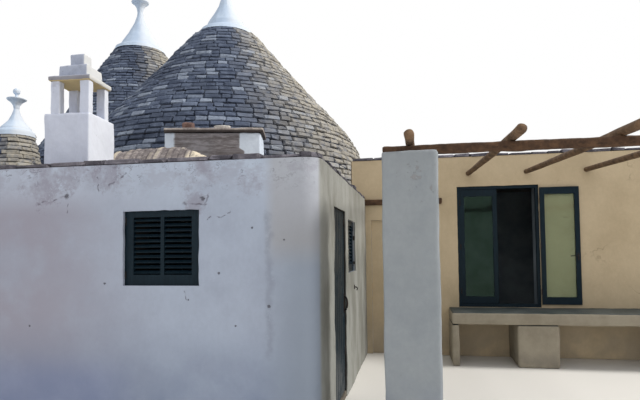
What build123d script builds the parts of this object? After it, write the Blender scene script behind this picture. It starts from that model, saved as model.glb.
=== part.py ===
from build123d import *
import os
from math import cos, radians, sin

# Trullo house: three stone cones over one block of rooms, a flat roofed kitchen in front
# with a chimney, a roof vault and a water tank, and a wing with a tall window on a terrace.
# All sizes are millimetres. Plan places are measured from the front right-hand corner
# of the kitchen, x to the right and y to the back, and ground level is z = 0.

# Kitchen block
kitchen_width = 5800
kitchen_depth = 4050
kitchen_wall = 500
kitchen_wall_height = 2230
kitchen_roof_thickness = 200
kitchen_corner_radius = 150
floor_thickness = 60

# Coping courses on the flat roofs
coping_thickness = 50
coping_width = 380
coping_overhang = 20

# Small shuttered window in the front wall
front_window_width = 727
front_window_height = 670
front_window_sill = 1340
front_window_to_corner = 1060

# Small shuttered window in the side wall
side_window_width = 770
side_window_height = 640
side_window_sill = 1360
side_window_from_front = 1830

# Louvred shutters
shutter_setback = 25
shutter_thickness = 40
shutter_clearance = 0.3
shutter_stile = 85
shutter_top_rail = 60
shutter_bottom_rail = 95
shutter_astragal = 34
slat_count = 11
slat_thickness = 10
slat_depth = 34

# Kitchen door in the side wall
door_from_front = 770
door_width = 835
door_head = 2075
door_leaf_thickness = 45
door_leaf_setback = 14
door_edge_clearance = 7
door_floor_clearance = 12
pin_diameter = 14
pin_from_jamb = 25
pin_from_leaf = 15
pin_clearance = 0.3
eye_wall = 8
strap_height = 40
strap_length = 300
strap_thickness = 6
hinge_inset = 260
pin_height = 70

# Chimney on the kitchen roof, turned a little from the wall
chimney_width = 490
chimney_depth = 510
chimney_from_front = 385
chimney_from_side = 2425
chimney_turn = 4
chimney_stack_height = 622
chimney_shoulder = 12
flue_width = 160
flue_depth = 180
chimney_post_width = 102
chimney_post_depth = 80
chimney_post_height = 338
chimney_slab_thickness = 48
chimney_slab_overhang = 22
chimney_tier_step = 74
chimney_tier_height = 130
chimney_tip_height = 140
chimney_head_inset = 14
chimney_head_from_left = 60
chimney_head_from_back = 100

# Vault that stands above the kitchen roof, between the chimney and the tank
vault_span = 2000
vault_rise = 535
vault_thickness = 140
vault_from_side = 2390
chimney_to_vault = 200
vault_to_tank = 50

# Water tank at the back of the kitchen roof, turned a little from the wall
tank_width = 1480
tank_depth = 600
tank_height = 1038
tank_wall = 110
tank_from_side = 1540
tank_turn = 12
tank_lid_thickness = 65
tank_lid_overhang = 40

# Block of rooms under the cones
base_height = 2600
front_masonry = 1460
back_masonry = 1460
cross_wall_thickness = 700
outer_left_wall_thickness = 1484
passage_width = 900
passage_height = 2050
portal_jamb = 200
cone_foot_margin = 10

# Main cone, over the main room
main_x = -3560
main_room_half = 1900

# Rear cone, over the rear room
rear_x = -8184
rear_room_half = 1700
rear_foot_radius = 3500

# Small cone, over the left-hand room
small_room_width = 2206
small_dome_radius = 1000
small_foot_radius = 2300

# Sides of the rings of slabs in the cones, and of the plastered caps
cone_sides = 48
cap_sides = 24
ring_lap = 40

# Mortar joint in the valleys where cones meet
valley_joint = 10

# Wing with the tall window
wing_right = 6000
wing_depth = 4200
wing_wall = 500
wing_wall_height = 2850
wing_roof_thickness = 200

# Tall window of the wing
tall_window_left = 1430
tall_window_width = 1200
tall_window_sill = 740
tall_window_height = 1850
window_frame_width = 45
window_frame_depth = 70
window_frame_setback = 20
leaf_thickness = 45
leaf_stile = 65
leaf_top_rail = 105
leaf_bottom_rail = 110
leaf_clearance = 4
leaf_hinge_gap = 0.3
leaf_wall_gap = 0.3
glass_thickness = 6

# Shallow recess in the wing wall beside the kitchen
recess_left = 100
recess_width = 850
recess_head = 2100
recess_depth = 60

# Timber beam on the wing wall above the recess
passage_beam_length = 1200
passage_beam_bottom = 2330
passage_beam_height = 90
passage_beam_depth = 60

# Masonry counter below the tall window
counter_left = 1270
counter_right = 4700
counter_depth = 750
counter_top_height = 740
counter_slab_thickness = 165
counter_end_leg = 100
alcove_one_width = 775
counter_middle_leg = 545
alcove_two_width = 1300

# Terrace piers and pergola
pier_size = 461
pier_left = 528
pier_height = 2450
beam_size = 80
pole_diameter = 80
pole_spacing = 850
pole_overhang = 150
pole_rise = 220
pole_seat = 0.3

# Places that follow from the sizes
main_room_front = kitchen_depth + front_masonry
main_y = main_room_front + main_room_half
main_foot_radius = main_y - kitchen_depth - cone_foot_margin
cross_wall_y = main_y + main_room_half
rear_room_front = cross_wall_y + cross_wall_thickness
rear_y = rear_room_front + rear_room_half
rear_room_back = rear_y + rear_room_half
rear_room_right = rear_x + rear_room_half
rear_back_y = rear_y + rear_foot_radius
main_back_y = cross_wall_y + back_masonry
base_left = rear_x - rear_foot_radius
base_right = main_x + main_foot_radius + cone_foot_margin
room_left = base_left + outer_left_wall_thickness
small_room_right = room_left + small_room_width
small_x = room_left + small_dome_radius
small_y = main_y
wing_back = kitchen_depth + wing_depth
kitchen_roof_top = kitchen_wall_height + kitchen_roof_thickness
wing_roof_top = wing_wall_height + wing_roof_thickness
plan_left = base_left
plan_right = wing_right + coping_overhang
plan_front = -pole_overhang
plan_back = rear_back_y
shift_x = -(plan_left + plan_right) / 2
shift_y = -(plan_front + plan_back) / 2

# Middles and ends of the turned pieces on the kitchen roof, and the head of the chimney
chimney_x = -chimney_from_side - chimney_width / 2
chimney_y = chimney_from_front + chimney_depth / 2
chimney_half_y = (chimney_width * sin(radians(chimney_turn))
                  + chimney_depth * cos(radians(chimney_turn))) / 2
head_width = chimney_width - chimney_head_from_left - chimney_head_inset
head_depth = chimney_depth - chimney_head_from_back - chimney_head_inset
head_right = (chimney_head_from_left - chimney_head_inset) / 2
head_back = (chimney_head_inset - chimney_head_from_back) / 2
tank_half_x = (tank_width * cos(radians(tank_turn)) + tank_depth * sin(radians(tank_turn))) / 2
tank_half_y = (tank_width * sin(radians(tank_turn)) + tank_depth * cos(radians(tank_turn))) / 2
tank_x = -tank_from_side - tank_half_x
tank_y = kitchen_depth - tank_half_y
vault_front = chimney_y + chimney_half_y + chimney_to_vault
vault_depth = tank_y - tank_half_y - vault_to_tank - vault_front
vault_from_front = vault_front + vault_depth / 2


def plan_rectangle(left, right, front, back):
    """Draw the rectangle between four faces of the plan in the open sketch."""
    with Locations(((left + right) / 2 + shift_x, (front + back) / 2 + shift_y)):
        Rectangle(right - left, back - front)


def plan_plane(x, y, z, turn=0):
    """Horizontal plane at a place of the plan and a height, turned about its upright axis."""
    level = Plane.XY.offset(z).shift_origin((x + shift_x, y + shift_y, z))
    return level.rotated((0, 0, turn))


def front_face(x, y):
    """Upright plane that faces the front, with its local x to the right and local y up."""
    return Plane(origin=(x + shift_x, y + shift_y, 0), x_dir=(1, 0, 0), z_dir=(0, -1, 0))


def side_face(x, y):
    """Upright plane that faces the right, with its local x to the back and local y up."""
    return Plane(origin=(x + shift_x, y + shift_y, 0), x_dir=(0, 1, 0), z_dir=(1, 0, 0))


def arched_doorway(width, height):
    """Draw a doorway with a round head, standing on the local origin, in the open sketch."""
    with Locations((0, (height - width / 2) / 2)):
        Rectangle(width, height - width / 2)
    with Locations((0, height - width / 2)):
        Circle(width / 2)


# Kitchen walls
with BuildPart() as front_wall:
    with BuildSketch(Plane.XY):
        plan_rectangle(-kitchen_width, 0, 0, kitchen_wall)
    extrude(amount=kitchen_wall_height)
    corner = front_wall.edges().filter_by(Axis.Z).group_by(Axis.Y)[0].sort_by(Axis.X)[-1]
    fillet(corner, radius=kitchen_corner_radius)
    window_centre = -front_window_to_corner - front_window_width / 2
    with BuildSketch(front_face(window_centre, 0)):
        with Locations((0, front_window_sill + front_window_height / 2)):
            Rectangle(front_window_width, front_window_height)
    extrude(amount=-kitchen_wall, mode=Mode.SUBTRACT)

with BuildPart() as left_wall:
    with BuildSketch(Plane.XY):
        plan_rectangle(-kitchen_width, -kitchen_width + kitchen_wall, kitchen_wall, kitchen_depth)
    extrude(amount=kitchen_wall_height)

with BuildPart() as door_side_pier:
    with BuildSketch(Plane.XY):
        plan_rectangle(-kitchen_wall, 0, kitchen_wall, door_from_front)
    extrude(amount=kitchen_wall_height)

with BuildPart() as door_lintel:
    with BuildSketch(Plane.XY.offset(door_head)):
        plan_rectangle(-kitchen_wall, 0, door_from_front, door_from_front + door_width)
    extrude(amount=kitchen_wall_height - door_head)

with BuildPart() as side_wall:
    with BuildSketch(Plane.XY):
        plan_rectangle(-kitchen_wall, 0, door_from_front + door_width, kitchen_depth)
    extrude(amount=kitchen_wall_height)
    with BuildSketch(side_face(0, side_window_from_front + side_window_width / 2)):
        with Locations((0, side_window_sill + side_window_height / 2)):
            Rectangle(side_window_width, side_window_height)
    extrude(amount=-kitchen_wall, mode=Mode.SUBTRACT)

with BuildPart() as kitchen_floor:
    with BuildSketch(Plane.XY):
        plan_rectangle(-kitchen_width + kitchen_wall, -kitchen_wall, kitchen_wall, kitchen_depth)
        plan_rectangle(-kitchen_wall, 0, door_from_front, door_from_front + door_width)
    extrude(amount=floor_thickness)

# Kitchen roof, open below the vault and below the flue
with BuildPart() as kitchen_roof:
    with BuildSketch(Plane.XY.offset(kitchen_wall_height)) as roof_outline:
        plan_rectangle(-kitchen_width, 0, 0, kitchen_depth)
        corner_point = roof_outline.vertices().group_by(Axis.Y)[0].sort_by(Axis.X)[-1]
        fillet(corner_point, radius=kitchen_corner_radius)
    extrude(amount=kitchen_roof_thickness)
    with BuildSketch(plan_plane(-vault_from_side, vault_from_front, kitchen_wall_height)):
        Rectangle(vault_span - 2 * vault_thickness, vault_depth - 2 * vault_thickness)
    extrude(amount=kitchen_roof_thickness, mode=Mode.SUBTRACT)
    with BuildSketch(plan_plane(chimney_x, chimney_y, kitchen_wall_height, chimney_turn)):
        with Locations((head_right, head_back)):
            Rectangle(flue_width, flue_depth)
    extrude(amount=kitchen_roof_thickness, mode=Mode.SUBTRACT)

# Coping course on the front and both sides of the kitchen roof
with BuildPart() as kitchen_coping:
    with BuildSketch(Plane.XY.offset(kitchen_roof_top)) as coping_outline:
        plan_rectangle(-kitchen_width - coping_overhang, coping_overhang,
                       -coping_overhang, kitchen_depth)
        corner_point = coping_outline.vertices().group_by(Axis.Y)[0].sort_by(Axis.X)[-1]
        fillet(corner_point, radius=kitchen_corner_radius + coping_overhang)
    extrude(amount=coping_thickness)
    with BuildSketch(Plane.XY.offset(kitchen_roof_top)):
        inset = coping_width - coping_overhang
        plan_rectangle(-kitchen_width + inset, -inset, inset, kitchen_depth)
    extrude(amount=coping_thickness, mode=Mode.SUBTRACT)

# Vault: two segmental barrels that cross, with the same pair inside as its soffit
vault_centre = plan_plane(-vault_from_side, vault_from_front, kitchen_roof_top).origin


def barrel_across(span, rise, length):
    """Segmental barrel over the roof whose section is seen from the front."""
    face = Plane(origin=(vault_centre.X, vault_centre.Y - length / 2, kitchen_roof_top),
                 x_dir=(1, 0, 0), z_dir=(0, -1, 0))
    with BuildPart() as barrel:
        with BuildSketch(face):
            with BuildLine():
                ThreePointArc((-span / 2, 0), (0, rise), (span / 2, 0))
                Line((span / 2, 0), (-span / 2, 0))
            make_face()
        extrude(amount=-length)
    return barrel.part


def barrel_along(span, rise, length):
    """Segmental barrel over the roof whose section is seen from the side."""
    face = Plane(origin=(vault_centre.X + length / 2, vault_centre.Y, kitchen_roof_top),
                 x_dir=(0, 1, 0), z_dir=(1, 0, 0))
    with BuildPart() as barrel:
        with BuildSketch(face):
            with BuildLine():
                ThreePointArc((-span / 2, 0), (0, rise), (span / 2, 0))
                Line((span / 2, 0), (-span / 2, 0))
            make_face()
        extrude(amount=-length)
    return barrel.part


inner_rise = vault_rise - vault_thickness
inner_span = vault_span - 2 * vault_thickness
inner_depth = vault_depth - 2 * vault_thickness
outer_vault = barrel_across(vault_span, vault_rise, vault_depth)
outer_vault = outer_vault & barrel_along(vault_depth, vault_rise, vault_span)
inner_vault = barrel_across(inner_span, inner_rise, inner_depth)
inner_vault = inner_vault & barrel_along(inner_depth, inner_rise, inner_span)

with BuildPart() as roof_vault:
    add(outer_vault)
    add(inner_vault, mode=Mode.SUBTRACT)

# Chimney stack with rounded shoulders and an open flue
with BuildPart() as chimney_stack:
    with BuildSketch(plan_plane(chimney_x, chimney_y, kitchen_roof_top, chimney_turn)):
        Rectangle(chimney_width, chimney_depth)
    extrude(amount=chimney_stack_height)
    fillet(chimney_stack.edges().group_by(Axis.Z)[-1], radius=chimney_shoulder)
    with BuildSketch(plan_plane(chimney_x, chimney_y, kitchen_roof_top, chimney_turn)):
        with Locations((head_right, head_back)):
            Rectangle(flue_width, flue_depth)
    extrude(amount=chimney_stack_height, mode=Mode.SUBTRACT)

# Four posts that carry the chimney slab above the flue, towards the front right of the stack
stack_top = kitchen_roof_top + chimney_stack_height
with BuildPart() as chimney_posts:
    with BuildSketch(plan_plane(chimney_x, chimney_y, stack_top, chimney_turn)):
        with Locations((head_right, head_back)):
            with GridLocations(head_width - chimney_post_width,
                               head_depth - chimney_post_depth, 2, 2):
                Rectangle(chimney_post_width, chimney_post_depth)
    extrude(amount=chimney_post_height)

# Slab that covers the chimney, with two square steps on it
slab_bottom = stack_top + chimney_post_height
slab_width = head_width + 2 * chimney_slab_overhang
slab_depth = head_depth + 2 * chimney_slab_overhang
cover_heights = [chimney_slab_thickness, chimney_tier_height, chimney_tip_height]
with BuildPart() as chimney_cover:
    step_bottom = slab_bottom
    for index, height in enumerate(cover_heights):
        with BuildSketch(plan_plane(chimney_x, chimney_y, step_bottom, chimney_turn)):
            with Locations((head_right, head_back)):
                Rectangle(slab_width - 2 * index * chimney_tier_step,
                          slab_depth - 2 * index * chimney_tier_step)
        extrude(amount=height)
        step_bottom = step_bottom + height

# Water tank: a masonry shell with a floor, and its stone lid, flush on the left
with BuildPart() as tank_walls:
    with BuildSketch(plan_plane(tank_x, tank_y, kitchen_roof_top, tank_turn)):
        Rectangle(tank_width, tank_depth)
    extrude(amount=tank_height)
    with BuildSketch(plan_plane(tank_x, tank_y, kitchen_roof_top + tank_wall, tank_turn)):
        Rectangle(tank_width - 2 * tank_wall, tank_depth - 2 * tank_wall)
    extrude(amount=tank_height - tank_wall, mode=Mode.SUBTRACT)

with BuildPart() as tank_lid:
    with BuildSketch(plan_plane(tank_x, tank_y, kitchen_roof_top + tank_height, tank_turn)):
        with Locations((tank_lid_overhang / 2, -tank_lid_overhang / 2)):
            Rectangle(tank_width + tank_lid_overhang, tank_depth + tank_lid_overhang)
    extrude(amount=tank_lid_thickness)

# Kitchen door: leaf with two strap eyes that turn on pins set in the jamb
leaf_outer_x = -door_leaf_setback
leaf_inner_x = leaf_outer_x - door_leaf_thickness
pin_x = leaf_inner_x - pin_from_leaf
pin_y = door_from_front + pin_from_jamb
eye_radius = pin_diameter / 2 + pin_clearance + eye_wall
leaf_bottom = floor_thickness + door_floor_clearance
leaf_top = door_head - door_edge_clearance
shoulder_heights = [leaf_bottom + hinge_inset, leaf_top - hinge_inset - strap_height]

with BuildPart() as kitchen_door:
    with BuildSketch(Plane.XY.offset(leaf_bottom)):
        plan_rectangle(leaf_inner_x, leaf_outer_x, door_from_front + door_edge_clearance,
                       door_from_front + door_width - door_edge_clearance)
    extrude(amount=leaf_top - leaf_bottom)
    for height in shoulder_heights:
        with BuildSketch(Plane.XY.offset(height + pin_clearance)):
            plan_rectangle(leaf_inner_x - strap_thickness, leaf_inner_x,
                           pin_y, pin_y + strap_length)
            with Locations((pin_x + shift_x, pin_y + shift_y)):
                Circle(eye_radius)
            plan_rectangle(pin_x, leaf_inner_x, pin_y, pin_y + eye_radius)
        extrude(amount=strap_height)
        with BuildSketch(Plane.XY.offset(height)):
            with Locations((pin_x + shift_x, pin_y + shift_y)):
                Circle(pin_diameter / 2 + pin_clearance)
        extrude(amount=strap_height + 2 * pin_clearance, mode=Mode.SUBTRACT)

with BuildPart() as door_pins:
    for height in shoulder_heights:
        with BuildSketch(Plane.XY.offset(height - pin_diameter)):
            plan_rectangle(pin_x - pin_diameter / 2, pin_x + pin_diameter / 2,
                           door_from_front, pin_y)
            with Locations((pin_x + shift_x, pin_y + shift_y)):
                Circle(pin_diameter / 2)
        extrude(amount=pin_diameter)
        with BuildSketch(Plane.XY.offset(height)):
            with Locations((pin_x + shift_x, pin_y + shift_y)):
                Circle(pin_diameter / 2)
        extrude(amount=pin_height)


def louvred_panel(width, height):
    """Frame with a centre bar and two columns of sloping slats, built on the open plane."""
    panel_width = width - 2 * shutter_clearance
    panel_height = height - 2 * shutter_clearance
    slat_zone = panel_height - shutter_top_rail - shutter_bottom_rail
    slat_width = panel_width - 2 * shutter_stile
    pitch = slat_zone / slat_count
    with BuildPart() as panel:
        with BuildSketch(Plane.XZ):
            Rectangle(panel_width, panel_height)
            with Locations((0, (shutter_bottom_rail - shutter_top_rail) / 2)):
                Rectangle(slat_width, slat_zone, mode=Mode.SUBTRACT)
                Rectangle(shutter_astragal, slat_zone)
        extrude(amount=shutter_thickness / 2, both=True)
        slat_bottom = -panel_height / 2 + shutter_bottom_rail
        slat_middles = [(0, slat_bottom + (index + 0.5) * pitch) for index in range(slat_count)]
        with BuildSketch(Plane.YZ):
            with Locations(*slat_middles):
                Rectangle(slat_depth, slat_thickness, rotation=35)
        extrude(amount=slat_width / 2, both=True)
    return panel.part


with BuildPart() as front_shutter:
    shutter_centre = front_window_sill + front_window_height / 2
    shutter_y = shutter_setback + shutter_thickness / 2
    with Locations((window_centre + shift_x, shutter_y + shift_y, shutter_centre)):
        add(louvred_panel(front_window_width, front_window_height))

with BuildPart() as side_shutter:
    side_centre_y = side_window_from_front + side_window_width / 2
    side_centre_z = side_window_sill + side_window_height / 2
    shutter_x = -shutter_setback - shutter_thickness / 2
    with Locations(Location((shutter_x + shift_x, side_centre_y + shift_y, side_centre_z),
                            (0, 0, 90))):
        add(louvred_panel(side_window_width, side_window_height))

# Masonry under the cones, from the front to the back
portal_left = main_x - passage_width / 2 - portal_jamb
portal_right = main_x + passage_width / 2 + portal_jamb
with BuildPart() as main_front_wall:
    with BuildSketch(Plane.XY):
        plan_rectangle(base_left, portal_left, kitchen_depth, main_room_front)
        plan_rectangle(portal_right, base_right, kitchen_depth, main_room_front)
    extrude(amount=base_height)

with BuildPart() as kitchen_arch:
    with BuildSketch(Plane.XY):
        plan_rectangle(portal_left, portal_right, kitchen_depth, main_room_front)
    extrude(amount=base_height)
    with BuildSketch(front_face(main_x, kitchen_depth)):
        arched_doorway(passage_width, passage_height)
    extrude(amount=-front_masonry, mode=Mode.SUBTRACT)

with BuildPart() as outer_left_wall:
    with BuildSketch(Plane.XY):
        plan_rectangle(base_left, room_left, main_room_front, rear_room_back)
    extrude(amount=base_height)

with BuildPart() as middle_wall:
    main_room_left = main_x - main_room_half
    with BuildSketch(Plane.XY):
        plan_rectangle(small_room_right, main_room_left, main_room_front, cross_wall_y)
    extrude(amount=base_height)
    with BuildSketch(side_face(main_room_left, small_y)):
        arched_doorway(passage_width, passage_height)
    extrude(amount=small_room_right - main_room_left, mode=Mode.SUBTRACT)

with BuildPart() as main_right_wall:
    main_room_right = main_x + main_room_half
    with BuildSketch(Plane.XY):
        plan_rectangle(main_room_right, base_right, main_room_front, cross_wall_y)
    extrude(amount=base_height)
    with BuildSketch(side_face(base_right, (kitchen_depth + wing_back) / 2)):
        arched_doorway(passage_width, passage_height)
    extrude(amount=main_room_right - base_right, mode=Mode.SUBTRACT)

with BuildPart() as cross_wall:
    with BuildSketch(Plane.XY):
        plan_rectangle(room_left, base_right, cross_wall_y, rear_room_front)
    extrude(amount=base_height)
    with BuildSketch(front_face(small_x, cross_wall_y)):
        arched_doorway(passage_width, passage_height)
    extrude(amount=-cross_wall_thickness, mode=Mode.SUBTRACT)

with BuildPart() as main_back_wall:
    with BuildSketch(Plane.XY):
        plan_rectangle(rear_room_right, base_right, rear_room_front, main_back_y)
    extrude(amount=base_height)

with BuildPart() as rear_right_wall:
    rear_right = rear_x + rear_foot_radius
    with BuildSketch(Plane.XY):
        plan_rectangle(rear_room_right, rear_right, main_back_y, rear_room_back)
    extrude(amount=base_height)

with BuildPart() as rear_back_wall:
    with BuildSketch(Plane.XY):
        plan_rectangle(base_left, rear_right, rear_room_back, rear_back_y)
    extrude(amount=base_height)

with BuildPart() as room_floors:
    with BuildSketch(Plane.XY):
        plan_rectangle(main_room_left, main_room_right, main_room_front, cross_wall_y)
        plan_rectangle(room_left, small_room_right, main_room_front, cross_wall_y)
        plan_rectangle(room_left, rear_room_right, rear_room_front, rear_room_back)
    extrude(amount=floor_thickness)

# Cones: a corbelled dome inside, rubble fill, and the slabbed outline outside. Outlines are
# lists of radius and height above the rooms.
main_outline = [(main_foot_radius, 0), (3300, 650), (3120, 1150), (2850, 1600), (2470, 2040),
                (2070, 2480), (1645, 2960), (1275, 3400), (985, 3750), (750, 4010), (500, 4190)]
rear_outline = [(rear_foot_radius, 0), (3470, 1000), (3360, 1700), (2995, 2200), (2627, 2700),
                (2254, 3300), (1877, 3900), (1518, 4500), (1208, 5000), (945, 5400), (705, 5740)]
small_outline = [(small_foot_radius, 0), (1650, 300), (1100, 650), (700, 1050), (545, 1350),
                 (500, 1650), (450, 1850), (375, 2090)]
main_dome = [(main_room_half, 0), (1780, 700), (1350, 1700), (750, 2600), (250, 3100)]
rear_dome = [(rear_room_half, 0), (1650, 900), (1350, 2200), (800, 3400), (250, 4200)]
small_dome = [(small_dome_radius, 0), (820, 400), (450, 900), (150, 1200)]


def ringed(outline, x, y, bottom, sides, margin=0):
    """Flat-sided solid of rings: each point of an outline, a radius and a height, gives a level
    ring of corners, and flat faces join each ring to the next."""
    rings = []
    for radius, height in outline:
        level = plan_plane(x, y, bottom + height)
        ring = PolarLocations(radius + margin, sides).local_locations
        rings.append([(level.location * place).position for place in ring])
    faces = [Face(Wire.make_polygon(rings[0])), Face(Wire.make_polygon(rings[-1]))]
    for lower, upper in zip(rings[:-1], rings[1:]):
        for side in range(sides):
            corners = [lower[side - 1], lower[side], upper[side], upper[side - 1]]
            faces.append(Face(Wire.make_polygon(corners)))
    return Solid(Shell(faces))


def lapped(outline):
    """Outline of slabs laid like tiles: each ring stands out over the top of the ring below."""
    laps = []
    for (radius, height), (radius_above, height_above) in zip(outline[:-1], outline[1:]):
        laps += [(radius, height), (radius_above - ring_lap, height_above)]
    return laps[:-1] + [outline[-1]]


grown_main = ringed(main_outline, main_x, main_y, base_height, cone_sides, valley_joint)
grown_small = ringed(small_outline, small_x, small_y, base_height, cone_sides, valley_joint)

with BuildPart() as main_cone:
    add(ringed(lapped(main_outline), main_x, main_y, base_height, cone_sides))
    add(ringed(main_dome, main_x, main_y, base_height, cone_sides), mode=Mode.SUBTRACT)

with BuildPart() as small_cone:
    add(ringed(lapped(small_outline), small_x, small_y, base_height, cone_sides))
    add(ringed(small_dome, small_x, small_y, base_height, cone_sides), mode=Mode.SUBTRACT)
    add(grown_main, mode=Mode.SUBTRACT)

with BuildPart() as rear_cone:
    add(ringed(lapped(rear_outline), rear_x, rear_y, base_height, cone_sides))
    add(ringed(rear_dome, rear_x, rear_y, base_height, cone_sides), mode=Mode.SUBTRACT)
    add(grown_main, mode=Mode.SUBTRACT)
    add(grown_small, mode=Mode.SUBTRACT)

# Whitewashed caps and pinnacles, as lists of radius and height above the top of the cone
main_pinnacle = [(490, 0), (420, 210), (280, 440), (175, 630), (115, 830), (95, 990), (120, 1110),
                 (200, 1220), (290, 1275), (290, 1320), (110, 1340), (60, 1390)]
rear_pinnacle = [(700, 0), (570, 250), (370, 540), (190, 900), (105, 1160), (88, 1300),
                 (115, 1450), (180, 1560), (275, 1625), (285, 1680), (110, 1700), (60, 1750)]
small_pinnacle = [(370, 0), (360, 100), (190, 290), (110, 450), (62, 600), (80, 700), (130, 780),
                  (225, 850), (230, 885), (35, 905), (35, 985), (72, 1015), (85, 1065),
                  (70, 1120), (25, 1145)]

with BuildPart() as main_cap:
    main_top = base_height + main_outline[-1][1]
    add(ringed(main_pinnacle, main_x, main_y, main_top, cap_sides))

with BuildPart() as rear_cap:
    rear_top = base_height + rear_outline[-1][1]
    add(ringed(rear_pinnacle, rear_x, rear_y, rear_top, cap_sides))

with BuildPart() as small_cap:
    small_top = base_height + small_outline[-1][1]
    add(ringed(small_pinnacle, small_x, small_y, small_top, cap_sides))

# Wing walls, roof and floor
tall_window_right = tall_window_left + tall_window_width
tall_window_top = tall_window_sill + tall_window_height
with BuildPart() as wing_front_wall:
    with BuildSketch(Plane.XY):
        plan_rectangle(base_right, wing_right, kitchen_depth, kitchen_depth + wing_wall)
    extrude(amount=wing_wall_height)
    with BuildSketch(front_face(0, kitchen_depth)):
        with Locations((tall_window_left + tall_window_width / 2,
                        tall_window_sill + tall_window_height / 2)):
            Rectangle(tall_window_width, tall_window_height)
    extrude(amount=-wing_wall, mode=Mode.SUBTRACT)
    with BuildSketch(front_face(0, kitchen_depth)):
        with Locations((recess_left + recess_width / 2, recess_head / 2)):
            Rectangle(recess_width, recess_head)
    extrude(amount=-recess_depth, mode=Mode.SUBTRACT)

with BuildPart() as wing_right_wall:
    with BuildSketch(Plane.XY):
        plan_rectangle(wing_right - wing_wall, wing_right, kitchen_depth + wing_wall, wing_back)
    extrude(amount=wing_wall_height)

with BuildPart() as wing_back_wall:
    with BuildSketch(Plane.XY):
        plan_rectangle(base_right, wing_right - wing_wall, wing_back - wing_wall, wing_back)
    extrude(amount=wing_wall_height)

with BuildPart() as wing_roof:
    with BuildSketch(Plane.XY.offset(wing_wall_height)):
        plan_rectangle(base_right, wing_right, kitchen_depth, wing_back)
    extrude(amount=wing_roof_thickness)

with BuildPart() as wing_coping:
    with BuildSketch(Plane.XY.offset(wing_roof_top)):
        plan_rectangle(base_right, wing_right + coping_overhang,
                       kitchen_depth - coping_overhang, wing_back + coping_overhang)
    extrude(amount=coping_thickness)
    with BuildSketch(Plane.XY.offset(wing_roof_top)):
        inset = coping_width - coping_overhang
        plan_rectangle(base_right, wing_right - inset, kitchen_depth + inset, wing_back - inset)
    extrude(amount=coping_thickness, mode=Mode.SUBTRACT)

with BuildPart() as wing_floor:
    with BuildSketch(Plane.XY):
        plan_rectangle(base_right, wing_right - wing_wall,
                       kitchen_depth + wing_wall, wing_back - wing_wall)
    extrude(amount=floor_thickness)

# Tall window: frame in the opening, left leaf closed, right leaf folded back on the wall
frame_front = kitchen_depth + window_frame_setback
frame_top = tall_window_top
frame_bottom = counter_top_height
with BuildPart() as window_frame:
    with BuildSketch(front_face(tall_window_left + tall_window_width / 2, frame_front)):
        with Locations((0, tall_window_sill + tall_window_height / 2)):
            Rectangle(tall_window_width, tall_window_height)
            Rectangle(tall_window_width - 2 * window_frame_width,
                      tall_window_height - 2 * window_frame_width, mode=Mode.SUBTRACT)
    extrude(amount=-window_frame_depth)

leaf_width = tall_window_width / 2 - window_frame_width - leaf_clearance
leaf_height = tall_window_height - 2 * window_frame_width - 2 * leaf_clearance
leaf_middle_z = tall_window_sill + tall_window_height / 2
closed_leaf_x = tall_window_left + window_frame_width + leaf_hinge_gap + leaf_width / 2
open_leaf_x = tall_window_right + leaf_clearance + leaf_width / 2
pane_width = leaf_width - 2 * leaf_stile
pane_height = leaf_height - leaf_top_rail - leaf_bottom_rail
pane_z = leaf_middle_z + (leaf_bottom_rail - leaf_top_rail) / 2
closed_leaf_y = frame_front + (window_frame_depth - leaf_thickness) / 2
open_leaf_y = kitchen_depth - leaf_wall_gap - leaf_thickness
leaf_places = [(closed_leaf_x, closed_leaf_y), (open_leaf_x, open_leaf_y)]

with BuildPart() as window_leaves:
    for leaf_x, leaf_y in leaf_places:
        with BuildSketch(front_face(leaf_x, leaf_y)):
            with Locations((0, leaf_middle_z)):
                Rectangle(leaf_width, leaf_height)
            with Locations((0, pane_z)):
                Rectangle(pane_width, pane_height, mode=Mode.SUBTRACT)
        extrude(amount=-leaf_thickness)

with BuildPart() as window_glass:
    for leaf_x, leaf_y in leaf_places:
        with BuildSketch(front_face(leaf_x, leaf_y + (leaf_thickness - glass_thickness) / 2)):
            with Locations((0, pane_z)):
                Rectangle(pane_width, pane_height)
        extrude(amount=-glass_thickness)

# Counter with two alcoves
counter_front = kitchen_depth - counter_depth
leg_height = counter_top_height - counter_slab_thickness
with BuildPart() as counter_slab:
    with BuildSketch(Plane.XY.offset(leg_height)):
        plan_rectangle(counter_left, counter_right, counter_front, kitchen_depth)
    extrude(amount=counter_slab_thickness)

alcove_one_left = counter_left + counter_end_leg
middle_leg_left = alcove_one_left + alcove_one_width
alcove_two_left = middle_leg_left + counter_middle_leg
alcove_two_right = alcove_two_left + alcove_two_width
with BuildPart() as counter_legs:
    with BuildSketch(Plane.XY):
        plan_rectangle(counter_left, alcove_one_left, counter_front, kitchen_depth)
        plan_rectangle(middle_leg_left, alcove_two_left, counter_front, kitchen_depth)
        plan_rectangle(alcove_two_right, counter_right, counter_front, kitchen_depth)
    extrude(amount=leg_height)

# Terrace piers
with BuildPart() as terrace_piers:
    with BuildSketch(Plane.XY):
        plan_rectangle(pier_left, pier_left + pier_size, 0, pier_size)
        plan_rectangle(wing_right - pier_size, wing_right, 0, pier_size)
    extrude(amount=pier_height)

# Timber beams: one on the wing wall above the passage, one on the terrace piers
beam_front = (pier_size - beam_size) / 2
with BuildPart() as terrace_beams:
    with BuildSketch(Plane.XY.offset(passage_beam_bottom)):
        plan_rectangle(0, passage_beam_length, kitchen_depth - passage_beam_depth, kitchen_depth)
    extrude(amount=passage_beam_height)
    with BuildSketch(Plane.XY.offset(pier_height)):
        plan_rectangle(pier_left, wing_right, beam_front, beam_front + beam_size)
    extrude(amount=beam_size)

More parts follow.
